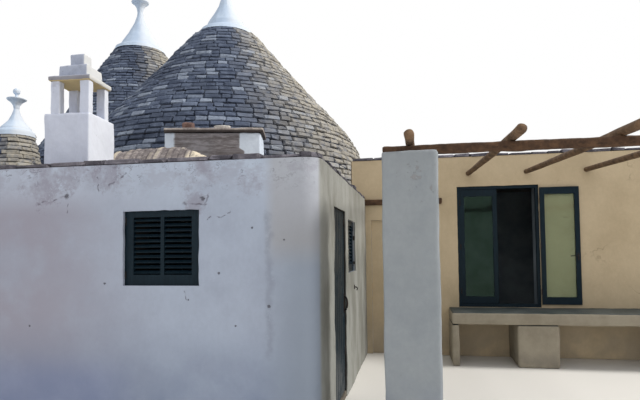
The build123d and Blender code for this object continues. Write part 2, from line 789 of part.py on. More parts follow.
# Pergola poles: they lie on the front beam and slope up to the wing wall
pole_slope = pole_rise / (kitchen_depth - beam_front)
pole_run = kitchen_depth + pole_overhang
pole_lift = pole_run * pole_slope
pole_middle = (pier_height + beam_size + pole_seat + pole_diameter / 2
               - (beam_front + pole_overhang) * pole_slope)
pole_count = int((wing_right - pier_left - pier_size) / pole_spacing) + 1
with BuildPart() as pergola_poles:
    for index in range(pole_count):
        pole_x = pier_left + pier_size / 2 + index * pole_spacing
        with BuildSketch(front_face(pole_x, -pole_overhang)):
            with Locations((0, pole_middle)):
                Circle(pole_diameter / 2)
        extrude(amount=Vector(0, pole_run, pole_lift).length, dir=(0, pole_run, pole_lift))

pieces = {
    "front_wall": front_wall,
    "left_wall": left_wall,
    "door_side_pier": door_side_pier,
    "door_lintel": door_lintel,
    "side_wall": side_wall,
    "kitchen_floor": kitchen_floor,
    "kitchen_roof": kitchen_roof,
    "kitchen_coping": kitchen_coping,
    "roof_vault": roof_vault,
    "chimney_stack": chimney_stack,
    "chimney_posts": chimney_posts,
    "chimney_cover": chimney_cover,
    "tank_walls": tank_walls,
    "tank_lid": tank_lid,
    "kitchen_door": kitchen_door,
    "door_pins": door_pins,
    "front_shutter": front_shutter,
    "side_shutter": side_shutter,
    "main_front_wall": main_front_wall,
    "kitchen_arch": kitchen_arch,
    "outer_left_wall": outer_left_wall,
    "middle_wall": middle_wall,
    "main_right_wall": main_right_wall,
    "cross_wall": cross_wall,
    "main_back_wall": main_back_wall,
    "rear_right_wall": rear_right_wall,
    "rear_back_wall": rear_back_wall,
    "room_floors": room_floors,
    "main_cone": main_cone,
    "rear_cone": rear_cone,
    "small_cone": small_cone,
    "main_cap": main_cap,
    "rear_cap": rear_cap,
    "small_cap": small_cap,
    "wing_front_wall": wing_front_wall,
    "wing_right_wall": wing_right_wall,
    "wing_back_wall": wing_back_wall,
    "wing_roof": wing_roof,
    "wing_coping": wing_coping,
    "wing_floor": wing_floor,
    "window_frame": window_frame,
    "window_leaves": window_leaves,
    "window_glass": window_glass,
    "counter_slab": counter_slab,
    "counter_legs": counter_legs,
    "terrace_piers": terrace_piers,
    "terrace_beams": terrace_beams,
    "pergola_poles": pergola_poles,
}

os.makedirs("parts", exist_ok=True)
for name, piece in pieces.items():
    piece.part.label = name
    export_step(piece.part, "parts/" + name + ".step")
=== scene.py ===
# %% [markdown]
# # Trullo house
# A trullo is a house of dry stone. Thick whitewashed walls carry cones of flat slabs, and
# every cone ends in a plastered cap with a pinnacle. This one has a flat-roofed kitchen in
# front and a wing with a tall green window behind a terrace.
#
# The lesson starts from a frame, a model of the house with every wall at its real size and
# place. Everything below dresses that frame: plaster, stones, paint, poles and ironwork.

# %% Load the frame
import bmesh
import bpy
import numpy as np
from mathutils import Matrix, Vector


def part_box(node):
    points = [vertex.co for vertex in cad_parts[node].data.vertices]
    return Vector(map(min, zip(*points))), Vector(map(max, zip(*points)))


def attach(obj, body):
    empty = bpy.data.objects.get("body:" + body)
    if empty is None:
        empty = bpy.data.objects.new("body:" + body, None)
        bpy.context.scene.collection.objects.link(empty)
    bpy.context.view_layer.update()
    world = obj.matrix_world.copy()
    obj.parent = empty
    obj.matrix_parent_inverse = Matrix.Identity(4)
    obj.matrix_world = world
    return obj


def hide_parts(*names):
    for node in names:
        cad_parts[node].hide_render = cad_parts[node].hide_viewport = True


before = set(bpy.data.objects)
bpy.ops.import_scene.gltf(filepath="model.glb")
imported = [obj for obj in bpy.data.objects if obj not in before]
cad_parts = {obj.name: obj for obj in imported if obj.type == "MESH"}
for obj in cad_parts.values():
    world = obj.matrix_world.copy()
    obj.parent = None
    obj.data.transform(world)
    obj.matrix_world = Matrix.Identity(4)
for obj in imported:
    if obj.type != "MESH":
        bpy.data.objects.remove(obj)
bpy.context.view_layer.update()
print("nodes in the frame:", len(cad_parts))


# %% [markdown]
# ## Places
# All places come from the frame, so nothing is fitted by hand. A node's box gives its lowest
# and highest corner in metres. The front right-hand corner of the kitchen is the point from
# which a mason would set out the plan, so it gets a name.

# %% Read the places of the main walls
def box(node):
    """Lowest and highest corner of a node, as arrays."""
    low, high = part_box(node)
    return np.array(low), np.array(high)


def mesh_points(mesh):
    """Corners of a mesh, as an array."""
    points = np.empty(len(mesh.vertices) * 3, dtype=np.float32)
    mesh.vertices.foreach_get("co", points)
    return points.reshape(-1, 3).astype(float)


def middle(node):
    """Middle of a node in plan."""
    low, high = box(node)
    return (low[:2] + high[:2]) / 2


kitchen_low, kitchen_high = box("front_wall")
corner_x, corner_y = kitchen_high[0], kitchen_low[1]
roof_top = box("kitchen_roof")[1][2]
kitchen_back = box("kitchen_roof")[1][1]
wing_low, wing_high = box("wing_front_wall")
print("kitchen corner", round(corner_x, 3), round(corner_y, 3), "roof at", round(roof_top, 3))

# %% [markdown]
# ## Camera
# The camera stands on the terrace side of the kitchen corner at eye height. It looks a little
# to the left and slightly up, with a wide lens. The lens is moved up by a small shift, which
# keeps the walls from leaning too much.

# %% Place the camera
eye_height = 1.65
eye_right_of_corner = 0.80
eye_before_wall = 4.35
look_left, look_up, tilt = np.radians([10.3, 2.6, 0.6])
camera_data = bpy.data.cameras.new("eye")
camera_data.sensor_width = 36
camera_data.lens = 29.7
camera_data.shift_y = 0.039
camera = bpy.data.objects.new("eye", camera_data)
bpy.context.collection.objects.link(camera)
stand = Matrix.Translation((corner_x + eye_right_of_corner, corner_y - eye_before_wall, eye_height))
turn = Matrix.Rotation(look_left, 4, "Z") @ Matrix.Rotation(np.pi / 2 + look_up, 4, "X")
camera.matrix_world = stand @ turn @ Matrix.Rotation(-tilt, 4, "Z")
bpy.context.scene.camera = camera
bpy.context.scene.view_settings.view_transform = "Standard"
print("camera at", [round(value, 2) for value in camera.matrix_world.translation])

# %% [markdown]
# ## Node helpers
# A material is a small graph. Writing each node as one call with its inputs keeps the graph
# readable. Colours are written as a painter reads them from a screen, 0 to 255, and changed
# to the linear values that a shader needs.


# %% Helpers for materials
def paint(red, green, blue):
    """Linear colour of a screen colour: ((c + 0.055) / 1.055) to the power 2.4."""
    screen = np.array([red, green, blue]) / 255
    linear = np.where(screen <= 0.04045, screen / 12.92, ((screen + 0.055) / 1.055) ** 2.4)
    return (*linear.tolist(), 1.0)


def add_node(tree, kind, inputs=None, **settings):
    """Add a node, set its options, and fill its inputs with values or with other sockets."""
    made = tree.nodes.new(kind)
    for key, value in settings.items():
        setattr(made, key, value)
    for key, value in (inputs or {}).items():
        if isinstance(value, bpy.types.NodeSocket):
            tree.links.new(value, made.inputs[key])
        else:
            made.inputs[key].default_value = value
    return made


def mix_colour(tree, factor, first, second, kind="MIX"):
    """Colour between two colours, by a mask from 0 to 1."""
    inputs = {0: factor, 6: first, 7: second}
    return add_node(tree, "ShaderNodeMix", inputs, data_type="RGBA", blend_type=kind).outputs[2]


def maths(tree, operation, first, second=0.0):
    """One step of arithmetic on masks."""
    return add_node(tree, "ShaderNodeMath", {0: first, 1: second}, operation=operation).outputs[0]


def times(tree, first, second):
    """Product of two masks."""
    return maths(tree, "MULTIPLY", first, second)


def stain(tree, tint, mask, amount, colour):
    """Tint changed towards a colour where the mask is, by an amount from 0 to 1."""
    return mix_colour(tree, times(tree, mask, amount), tint, colour)


def axes(tree, place):
    """The three parts of a place or a direction, by the names X, Y and Z."""
    return add_node(tree, "ShaderNodeSeparateXYZ", {0: place}).outputs


def vector_maths(tree, operation, first, second=(0.0, 0.0, 0.0), scale=1.0):
    """One step of arithmetic on places. Lengths and dot products come out as one number."""
    inputs = {0: first, "Scale": scale} if operation == "SCALE" else {0: first, 1: second}
    made = add_node(tree, "ShaderNodeVectorMath", inputs, operation=operation)
    return made.outputs["Value" if operation in ("LENGTH", "DOT_PRODUCT", "DISTANCE") else "Vector"]


def ramp(tree, value, start, end, low=0.0, high=1.0):
    """Soft step: low below start, high above end."""
    inputs = {"Value": value, "From Min": start, "From Max": end, "To Min": low, "To Max": high}
    made = add_node(tree, "ShaderNodeMapRange", inputs, interpolation_type="SMOOTHSTEP")
    return made.outputs["Result"]


def noise(tree, place, scale, detail=4.0, rough=0.6, squash=None):
    """Cloudy noise in object space, stretched along each axis by squash if it is given."""
    if squash is not None:
        place = add_node(tree, "ShaderNodeMapping", {"Vector": place, "Scale": squash}).outputs[0]
    inputs = {"Vector": place, "Scale": scale, "Detail": detail, "Roughness": rough}
    return add_node(tree, "ShaderNodeTexNoise", inputs).outputs["Fac"]


def new_group(name, inputs, outputs):
    """Empty shader node group with named sockets, returned as tree, input node, output node."""
    kinds = {"colour": "NodeSocketColor", "value": "NodeSocketFloat", "vector": "NodeSocketVector"}
    tree = bpy.data.node_groups.new(name, "ShaderNodeTree")
    for label, kind in inputs:
        tree.interface.new_socket(label, in_out="INPUT", socket_type=kinds[kind])
    for label, kind in outputs:
        tree.interface.new_socket(label, in_out="OUTPUT", socket_type=kinds[kind])
    return tree, tree.nodes.new("NodeGroupInput"), tree.nodes.new("NodeGroupOutput")


def object_place(tree):
    """Object coordinates of the piece, in metres."""
    return tree.nodes.new("ShaderNodeTexCoord").outputs["Object"]


def facing(tree):
    """Parts of the direction in which the surface looks."""
    return axes(tree, tree.nodes.new("ShaderNodeNewGeometry").outputs["Normal"])


def use_group(tree, group, inputs):
    """Place a node group in a material."""
    return add_node(tree, "ShaderNodeGroup", inputs, node_tree=group).outputs


def new_material(name, roughness=0.9):
    """Material with a Principled shader and a bump node that feeds its normal."""
    material = bpy.data.materials.new(name)
    material.use_nodes = True
    tree = material.node_tree
    shader = tree.nodes["Principled BSDF"]
    shader.inputs["Roughness"].default_value = roughness
    shader.inputs["Specular IOR Level"].default_value = 0.25
    bump = add_node(tree, "ShaderNodeBump", {"Distance": 0.01, "Strength": 0.6})
    tree.links.new(bump.outputs["Normal"], shader.inputs["Normal"])
    return material, tree, shader, bump


def close_material(material, shader, bump, tint, relief, depth=0.010):
    """Feed the colour and the relief to the shader. Depth is how deep the relief looks, in
    metres."""
    material.node_tree.links.new(tint, shader.inputs["Base Color"])
    material.node_tree.links.new(relief, bump.inputs["Height"])
    bump.inputs["Distance"].default_value = depth
    return material


# %% [markdown]
# ## Effects that several finishes share
# Lime wash is never even. It is brushed on in layers, it chalks, greys under the roof edge
# where rain runs off, peels in patches and cracks. Stone has grain, pits and lichen. Each of
# these is a node group, so that a wall, a pier and a cap weather in the same way with
# their own amounts.

# %% Group: brushed coats of lime
lime_tree, lime_in, lime_out = new_group(
    "lime_coats",
    [("Colour", "colour"), ("Shade", "colour"), ("Scale", "value"), ("Amount", "value")],
    [("Colour", "colour"), ("Height", "value")])
place = object_place(lime_tree)
broad = noise(lime_tree, place, 0.9, 3.0)
patch = noise(lime_tree, place, lime_in.outputs["Scale"], 6.0, 0.65)
brush = noise(lime_tree, place, 24.0, 4.0, 0.7, (1.0, 1.0, 0.75))
mask = maths(lime_tree, "ADD", times(lime_tree, broad, 0.5), times(lime_tree, patch, 0.5))
mask = ramp(lime_tree, mask, 0.40, 0.66)
mask = times(lime_tree, mask, lime_in.outputs["Amount"])
coat = mix_colour(lime_tree, mask, lime_in.outputs["Colour"], lime_in.outputs["Shade"])
speck = ramp(lime_tree, brush, 0.3, 0.75, 0.965, 1.02)
coat = mix_colour(lime_tree, 1.0, coat, speck, "MULTIPLY")
lime_tree.links.new(coat, lime_out.inputs["Colour"])
height = maths(lime_tree, "ADD", times(lime_tree, patch, 0.6), times(lime_tree, brush, 0.4))
lime_tree.links.new(height, lime_out.inputs["Height"])

# %% Group: hairline cracks
crack_tree, crack_in, crack_out = new_group(
    "cracks", [("Scale", "value"), ("Amount", "value")], [("Mask", "value")])
place = object_place(crack_tree)
bend = add_node(crack_tree, "ShaderNodeTexNoise", {"Vector": place, "Scale": 2.2, "Detail": 5.0})
bent = mix_colour(crack_tree, 0.35, place, bend.outputs["Color"])
cells = add_node(crack_tree, "ShaderNodeTexVoronoi",
                 {"Vector": bent, "Scale": crack_in.outputs["Scale"]},
                 feature="DISTANCE_TO_EDGE").outputs["Distance"]
line = ramp(crack_tree, cells, 0.0, 0.006, 1.0, 0.0)
where = ramp(crack_tree, noise(crack_tree, place, 1.3, 4.0), 0.56, 0.66)
line = times(crack_tree, times(crack_tree, line, where), crack_in.outputs["Amount"])
crack_tree.links.new(line, crack_out.inputs["Mask"])

# %% Group: one crack from a place to another
scratch_tree, scratch_in, scratch_out = new_group(
    "scratch", [("From", "vector"), ("To", "vector"), ("Width", "value")], [("Mask", "value")])
place = object_place(scratch_tree)
wander = add_node(scratch_tree, "ShaderNodeTexNoise",
                  {"Vector": place, "Scale": 7.0, "Detail": 6.0}).outputs["Color"]
wander = vector_maths(scratch_tree, "SUBTRACT", wander, (0.5, 0.5, 0.5))
bent = vector_maths(scratch_tree, "ADD", place, vector_maths(scratch_tree, "SCALE", wander, scale=0.14))
whole = vector_maths(scratch_tree, "SUBTRACT", scratch_in.outputs["To"], scratch_in.outputs["From"])
part = vector_maths(scratch_tree, "SUBTRACT", bent, scratch_in.outputs["From"])
share = maths(scratch_tree, "DIVIDE", vector_maths(scratch_tree, "DOT_PRODUCT", part, whole),
              vector_maths(scratch_tree, "DOT_PRODUCT", whole, whole))
share = maths(scratch_tree, "MINIMUM", maths(scratch_tree, "MAXIMUM", share, 0.0), 1.0)
nearest = vector_maths(scratch_tree, "SCALE", whole, scale=share)
away = vector_maths(scratch_tree, "DISTANCE", part, nearest)
line = ramp(scratch_tree, away, scratch_in.outputs["Width"], 0.0)
line = times(scratch_tree, line, ramp(scratch_tree, noise(scratch_tree, place, 12.0), 0.30, 0.46))
scratch_tree.links.new(line, scratch_out.inputs["Mask"])

# %% Group: one chipped spot
spot_tree, spot_in, spot_out = new_group(
    "spot", [("Centre", "vector"), ("Size", "value")], [("Mask", "value")])
place = object_place(spot_tree)
away = vector_maths(spot_tree, "DISTANCE", place, spot_in.outputs["Centre"])
ragged = maths(spot_tree, "SUBTRACT", noise(spot_tree, place, 34.0, 6.0, 0.75), 0.5)
ragged = times(spot_tree, ragged, 2.6)
away = maths(spot_tree, "ADD", away, times(spot_tree, ragged, spot_in.outputs["Size"]))
inner = times(spot_tree, spot_in.outputs["Size"], 0.6)
spot_tree.links.new(ramp(spot_tree, away, spot_in.outputs["Size"], inner), spot_out.inputs["Mask"])

# %% Group: stone grain with pits
grain_tree, grain_in, grain_out = new_group(
    "stone_grain", [("Colour", "colour"), ("Dark", "colour"), ("Scale", "value")],
    [("Colour", "colour"), ("Height", "value")])
place = object_place(grain_tree)
cloud = noise(grain_tree, place, grain_in.outputs["Scale"], 6.0, 0.7)
fine = noise(grain_tree, place, 55.0, 4.0, 0.75)
face = mix_colour(grain_tree, ramp(grain_tree, cloud, 0.38, 0.68), grain_in.outputs["Dark"],
                  grain_in.outputs["Colour"])
face = mix_colour(grain_tree, 1.0, face, ramp(grain_tree, fine, 0.3, 0.75, 0.78, 1.14), "MULTIPLY")
grain_tree.links.new(face, grain_out.inputs["Colour"])
height = maths(grain_tree, "ADD", times(grain_tree, cloud, 0.5), times(grain_tree, fine, 0.5))
grain_tree.links.new(height, grain_out.inputs["Height"])

# %% Group: lichen blotches
lichen_tree, lichen_in, lichen_out = new_group(
    "lichen", [("Scale", "value"), ("Cover", "value")], [("Mask", "value")])
place = object_place(lichen_tree)
blot = noise(lichen_tree, place, lichen_in.outputs["Scale"], 7.0, 0.72)
spread = maths(lichen_tree, "ADD", blot, lichen_in.outputs["Cover"])
lichen_tree.links.new(ramp(lichen_tree, spread, 0.62, 0.70), lichen_out.inputs["Mask"])
print("shared effects:", [group.name for group in bpy.data.node_groups])

# %% [markdown]
# ## Finishes
# The kitchen walls are lime-washed many times over, a cool pale grey in the shade, with
# bare patches below the coping and damp at the foot. Heights in object space place them,
# because on the real wall they follow the roof edge and the ground.


# %% Short names for two of the groups
def limed(tree, colour, shade, scale, amount):
    """Brushed coats of lime in a material, with the outputs Colour and Height."""
    inputs = {"Colour": colour, "Shade": shade, "Scale": scale, "Amount": amount}
    return use_group(tree, lime_tree, inputs)


def grained(tree, colour, dark, scale):
    """Stone grain in a material, with the outputs Colour and Height."""
    return use_group(tree, grain_tree, {"Colour": colour, "Dark": dark, "Scale": scale})


# %% Whitewash
def weathered_wash(name, colour, shade, top, foot=0.0, runs=0.5, flakes=0.45, cracked=0.35,
                   sunlight_and_bleach=0.0, paved=False):
    """Lime wash with grey runs and peeled patches below a top edge, and damp above a foot.
    Runs, flakes and cracked are their strengths. The side that faces the sun is painted whiter
    by the strength that follows them, part sun bleaching and part painted sunlight. Paved turns
    level tops into bare stone."""
    material, tree, shader, bump = new_material(name)
    place = object_place(tree)
    upright = axes(tree, place)["Z"]
    coats = limed(tree, colour, shade, 3.2, 0.75)
    tint = coats["Colour"]
    below_top = ramp(tree, upright, top - 0.60, top - 0.02)
    drips = noise(tree, place, 4.0, 6.0, 0.7, (1.0, 1.0, 0.4))
    grey = ramp(tree, maths(tree, "ADD", drips, times(tree, below_top, 0.10)), 0.55, 0.72)
    grey = times(tree, grey, below_top)
    tint = stain(tree, tint, grey, runs, paint(134, 132, 140))
    bits = noise(tree, place, 7.5, 8.0, 0.75)
    bare = ramp(tree, maths(tree, "ADD", bits, times(tree, below_top, 0.05)), 0.665, 0.68)
    tint = stain(tree, tint, bare, flakes, paint(140, 132, 130))
    damp = ramp(tree, upright, foot + 0.75, foot + 0.05)
    damp = times(tree, damp, ramp(tree, noise(tree, place, 2.6, 5.0), 0.35, 0.7))
    tint = stain(tree, tint, damp, 0.6, paint(118, 128, 148))
    lines = use_group(tree, crack_tree, {"Scale": 1.7, "Amount": cracked})["Mask"]
    tint = mix_colour(tree, lines, tint, paint(96, 90, 90))
    # Painted sunlight, partly sun bleaching: faces turned towards the sun's side grow whiter.
    sunny = times(tree, ramp(tree, facing(tree)["X"], 0.2, 0.7), sunlight_and_bleach)
    tint = mix_colour(tree, sunny, tint, paint(230, 231, 231))
    if paved:
        stone = grained(tree, paint(136, 132, 128), paint(84, 82, 84), 3.0)["Colour"]
        tint = mix_colour(tree, ramp(tree, facing(tree)["Z"], 0.6, 0.8), tint, stone)
    dent = maths(tree, "SUBTRACT", coats["Height"], times(tree, bare, 0.5))
    dent = maths(tree, "SUBTRACT", dent, lines)
    return close_material(material, shader, bump, tint, dent)


wash = weathered_wash("whitewash", paint(188, 192, 204), paint(168, 171, 184), roof_top, cracked=0.0)
wash_rooms = weathered_wash("whitewash_rooms", paint(196, 198, 202), paint(170, 171, 178),
                            box("main_front_wall")[1][2], paved=True)
# The chimney, the tank and the caps get painted sunlight, partly sun bleaching, on the side facing the sun.
wash_top = weathered_wash("whitewash_high", paint(208, 214, 231), paint(186, 192, 211), 3.3,
                          runs=0.2, flakes=0.2, cracked=0.1, sunlight_and_bleach=0.35)
# The caps have neither a roof edge above them nor ground at their foot, so both are far away.
far_above, far_below = 30.0, -9.0
cap_wash = weathered_wash("whitewash_caps", paint(194, 210, 230), paint(172, 190, 214), far_above,
                          far_below, runs=0.0, flakes=0.12, cracked=0.0, sunlight_and_bleach=0.5)
print("washes:", wash.name, cap_wash.name)

# %% [markdown]
# ## The kitchen wall
# This wall is seen from close by, so its marks have their own places: a hole with two
# cracks, chips above the shutter, a few nail holes and a straight seam near the corner.
# Each mark is given by its distance from the front right-hand corner and its height.

# %% Kitchen wall finish
def on_front(run, level):
    """Place on the front wall, from the distance right of the corner and the height."""
    return (float(corner_x + run), float(corner_y - 0.012), level)


wall_cracks = [(-2.66, 2.10, -2.35, 2.15, 0.014), (-2.35, 2.19, -2.34, 2.01, 0.012),
               (-1.93, 2.26, -1.71, 2.35, 0.010), (-0.97, 1.92, -0.74, 1.99, 0.009),
               (-2.05, 2.34, -2.01, 2.20, 0.009), (-1.22, 2.06, -0.99, 2.05, 0.018),
               (-1.01, 2.03, -0.98, 2.14, 0.014), (-1.19, 1.31, -1.16, 1.21, 0.007)]
wall_spots = [(-2.345, 2.16, 0.030), (-1.03, 2.10, 0.022), (-0.88, 1.45, 0.012), (-1.96, 1.36, 0.012),
              (-0.58, 1.84, 0.014), (-0.30, 1.73, 0.010), (-0.73, 1.00, 0.010), (-1.16, 1.22, 0.010),
              (-0.43, 1.17, 0.018), (-2.72, 0.97, 0.012)]
wall_smudges = [(-2.62, 2.30, 0.26), (-2.30, 2.36, 0.20), (-1.95, 2.33, 0.18), (-1.08, 2.34, 0.22),
                (-0.60, 2.20, 0.12), (-1.10, 2.07, 0.12)]


def spots_on_front(tree, places):
    """Mask of chipped spots. A spot is its distance right of the corner, its height and size."""
    mask = 0.0
    for run, level, size in places:
        spot = use_group(tree, spot_tree, {"Centre": on_front(run, level), "Size": size})["Mask"]
        mask = maths(tree, "MAXIMUM", mask, spot)
    return mask


def cracks_on_front(tree, places):
    """Mask of single cracks. A crack is the distance and height of both its ends, and its
    width."""
    mask = 0.0
    for first_run, first_level, last_run, last_level, width in places:
        crack = use_group(tree, scratch_tree, {"From": on_front(first_run, first_level),
                                               "To": on_front(last_run, last_level), "Width": width})
        mask = maths(tree, "MAXIMUM", mask, crack["Mask"])
    return mask


def kitchen_finish():
    """Cool lime wash with greyed patches under the roof edge, damp blue foot, and marks, with painted shade
    towards the rounded corner and on the side wall beyond it.
    """
    material, tree, shader, bump = new_material("kitchen_wash")
    place = object_place(tree)
    parts = axes(tree, place)
    run = maths(tree, "SUBTRACT", parts["X"], float(corner_x))
    coats = limed(tree, paint(172, 182, 200), paint(158, 166, 184), 2.6, 0.8)
    tint = coats["Colour"]
    soft = noise(tree, place, 1.6, 4.0)
    left = times(tree, ramp(tree, run, -1.2, -2.8), ramp(tree, soft, 0.3, 0.6, 0.5, 1.0))
    tint = mix_colour(tree, left, tint, paint(156, 155, 169))
    band = times(tree, ramp(tree, parts["Z"], 1.95, 2.35), ramp(tree, soft, 0.35, 0.6, 0.3, 1.0))
    tint = stain(tree, tint, band, 0.75, paint(192, 204, 222))
    foot = times(tree, ramp(tree, parts["Z"], 1.15, 0.25), ramp(tree, soft, 0.3, 0.65, 0.6, 1.0))
    tint = stain(tree, tint, foot, 0.85, paint(124, 136, 160))
    blue = times(tree, ramp(tree, parts["Z"], 0.80, 0.45), ramp(tree, run, -1.5, -2.1))
    tint = stain(tree, tint, blue, 0.4, paint(122, 134, 172))
    # Painted shade: darker towards the rounded corner, below 2.1 m.
    edge = times(tree, ramp(tree, run, -0.62, -0.12), ramp(tree, parts["Z"], 2.1, 1.7))
    tint = stain(tree, tint, edge, 0.8, paint(138, 148, 162))
    warm = times(tree, ramp(tree, run, -0.50, -0.36), ramp(tree, parts["Z"], 1.45, 1.75))
    tint = stain(tree, tint, warm, 0.5, paint(166, 162, 160))
    high = ramp(tree, parts["Z"], 2.05, 2.38)
    peeling = noise(tree, place, 3.6, 7.0, 0.68, (1.0, 1.0, 1.5))
    peeled = times(tree, ramp(tree, peeling, 0.50, 0.60), high)
    tint = stain(tree, tint, peeled, 0.35, paint(142, 138, 152))
    smudge = spots_on_front(tree, wall_smudges)
    smudge = times(tree, smudge, ramp(tree, noise(tree, place, 5.0, 6.0, 0.7), 0.36, 0.62))
    tint = stain(tree, tint, smudge, 0.55, paint(136, 130, 144))
    rim = times(tree, ramp(tree, peeling, 0.485, 0.50), ramp(tree, peeling, 0.515, 0.50))
    rim = times(tree, times(tree, rim, high), ramp(tree, noise(tree, place, 9.0), 0.45, 0.6))
    tint = stain(tree, tint, rim, 0.7, paint(98, 94, 106))
    bits = ramp(tree, noise(tree, place, 13.0, 8.0, 0.75), 0.695, 0.71)
    tint = stain(tree, tint, bits, 0.4, paint(120, 118, 128))
    seam = use_group(tree, scratch_tree, {"From": on_front(-0.44, 1.95), "To": on_front(-0.42, 0.75),
                                          "Width": 0.05})["Mask"]
    tint = stain(tree, tint, seam, 0.35, paint(120, 124, 138))
    marks = cracks_on_front(tree, wall_cracks)
    tint = stain(tree, tint, marks, 0.75, paint(92, 86, 96))
    chips = spots_on_front(tree, wall_spots)
    tint = stain(tree, tint, chips, 0.8, paint(78, 76, 84))
    # Painted shade: the side wall round the corner is darker and greyer, mottled in upright streaks.
    side = times(tree, ramp(tree, run, -0.02, 0.004), 0.85)
    side_shade_mottle = ramp(tree, noise(tree, place, 2.2, 5.0, 0.6, (1.0, 1.0, 0.5)), 0.35, 0.62)
    side_shade_tint = mix_colour(tree, side_shade_mottle, paint(118, 116, 104), paint(148, 148, 140))
    tint = mix_colour(tree, side, tint, side_shade_tint)
    dent = maths(tree, "SUBTRACT", coats["Height"], times(tree, peeled, 0.25))
    dent = maths(tree, "SUBTRACT", dent, maths(tree, "MAXIMUM", marks, chips))
    return close_material(material, shader, bump, tint, dent, 0.009)


kitchen_wash = kitchen_finish()
# The piers get a darker, greyer copy of the wash: painted shade.
pier_wash_in_shade = weathered_wash("whitewash_piers", paint(152, 158, 163), paint(136, 143, 150), roof_top,
                           runs=0.3, flakes=0.35, cracked=0.0)

# %% [markdown]
# ## The wing wall and the dark rooms
# The wing's terrace side has a warm cream plaster, its other sides are whitewashed. Indoors
# the plaster is painted dark, brown in the kitchen and grey in the wing: painted shade, so
# that an opening looks dark by day, with some browning by the smoke of the kitchen's hearth.
# The depth behind the outer face tells one from the other.

# %% Cream outside, painted shade inside
def terrace_plaster(name, inside_from, white_from=None):
    """Cream plaster on the terrace side; white behind white_from and painted indoor shade, a
    mottled dark grey, behind inside_from, both distances behind the wing's front face."""
    material, tree, shader, bump = new_material(name)
    place = object_place(tree)
    parts = axes(tree, place)
    behind = maths(tree, "SUBTRACT", parts["Y"], float(wing_low[1]))
    coats = limed(tree, paint(204, 186, 156), paint(188, 170, 140), 2.4, 0.8)
    tint = coats["Colour"]
    low = times(tree, ramp(tree, parts["Z"], 0.9, 0.1), ramp(tree, noise(tree, place, 2.0), 0.3, 0.6))
    tint = stain(tree, tint, low, 0.45, paint(140, 132, 122))
    lines = use_group(tree, crack_tree, {"Scale": 1.3, "Amount": 0.35})["Mask"]
    tint = mix_colour(tree, lines, tint, paint(122, 104, 84))
    bits = ramp(tree, noise(tree, place, 11.0, 8.0, 0.75), 0.69, 0.705)
    tint = stain(tree, tint, bits, 0.35, paint(206, 198, 184))
    if white_from is not None:
        pale = limed(tree, paint(200, 201, 204), paint(176, 177, 182), 3.0, 0.8)["Colour"]
        tint = mix_colour(tree, ramp(tree, behind, white_from, white_from + 0.01), tint, pale)
    # Painted shade indoors: the plaster behind inside_from is a mottled dark grey.
    if inside_from is not None:
        indoor_shade_mottle = ramp(tree, noise(tree, place, 1.5, 4.0), 0.3, 0.7)
        dark = mix_colour(tree, indoor_shade_mottle, paint(116, 126, 134), paint(150, 160, 168))
        tint = mix_colour(tree, ramp(tree, behind, inside_from, inside_from + 0.01), tint, dark)
    dent = maths(tree, "SUBTRACT", coats["Height"], lines)
    return close_material(material, shader, bump, tint, dent, 0.008)


def shaded_smoky_plaster():
    """Dark brown lime wash for rooms seen only through an opening: painted indoor shade, with some browning
    by smoke.
    """
    material, tree, shader, bump = new_material("shaded_smoky_plaster")
    coats = limed(tree, paint(66, 60, 55), paint(46, 42, 40), 2.0, 0.9)
    return close_material(material, shader, bump, coats["Colour"], coats["Height"])


def counter_finish():
    """Cream plaster, scuffed darker near the floor, with a top of dark grey cement that is partly painted
    shade.
    """
    material, tree, shader, bump = new_material("counter_finish")
    place = object_place(tree)
    coats = limed(tree, paint(158, 150, 134), paint(136, 128, 113), 4.0, 0.9)
    cement = grained(tree, paint(76, 82, 82), paint(50, 57, 57), 2.5)
    top = ramp(tree, facing(tree)["Z"], 0.55, 0.8)
    low = axes(tree, place)["Z"]
    scuffed = times(tree, ramp(tree, low, 0.35, 0.05), ramp(tree, noise(tree, place, 5.0), 0.35, 0.65))
    tint = stain(tree, coats["Colour"], scuffed, 0.5, paint(112, 106, 100))
    # The dark top is partly the cement's own grey and partly painted shade from the plants above.
    tint = mix_colour(tree, top, tint, cement["Colour"])
    tree.links.new(ramp(tree, top, 0.0, 1.0, 0.9, 0.6), shader.inputs["Roughness"])
    return close_material(material, shader, bump, tint, coats["Height"])


cream = terrace_plaster("cream_plaster", 0.075)
wing_coat = terrace_plaster("wing_plaster", None, 0.02)
wing_walls = terrace_plaster("wing_walls", 0.05)
indoor_shade_and_smoke = shaded_smoky_plaster()
counter_coat = counter_finish()
print("wing finishes:", cream.name, wing_coat.name, indoor_shade_and_smoke.name)

# %% [markdown]
# ## Limestone
# The stone is a grey limestone. Slabs weather dark, and pale lichen grows on their faces. A
# number stored with each stone, its tone, makes one slab lighter than the next, as when
# they came from different beds of the quarry.

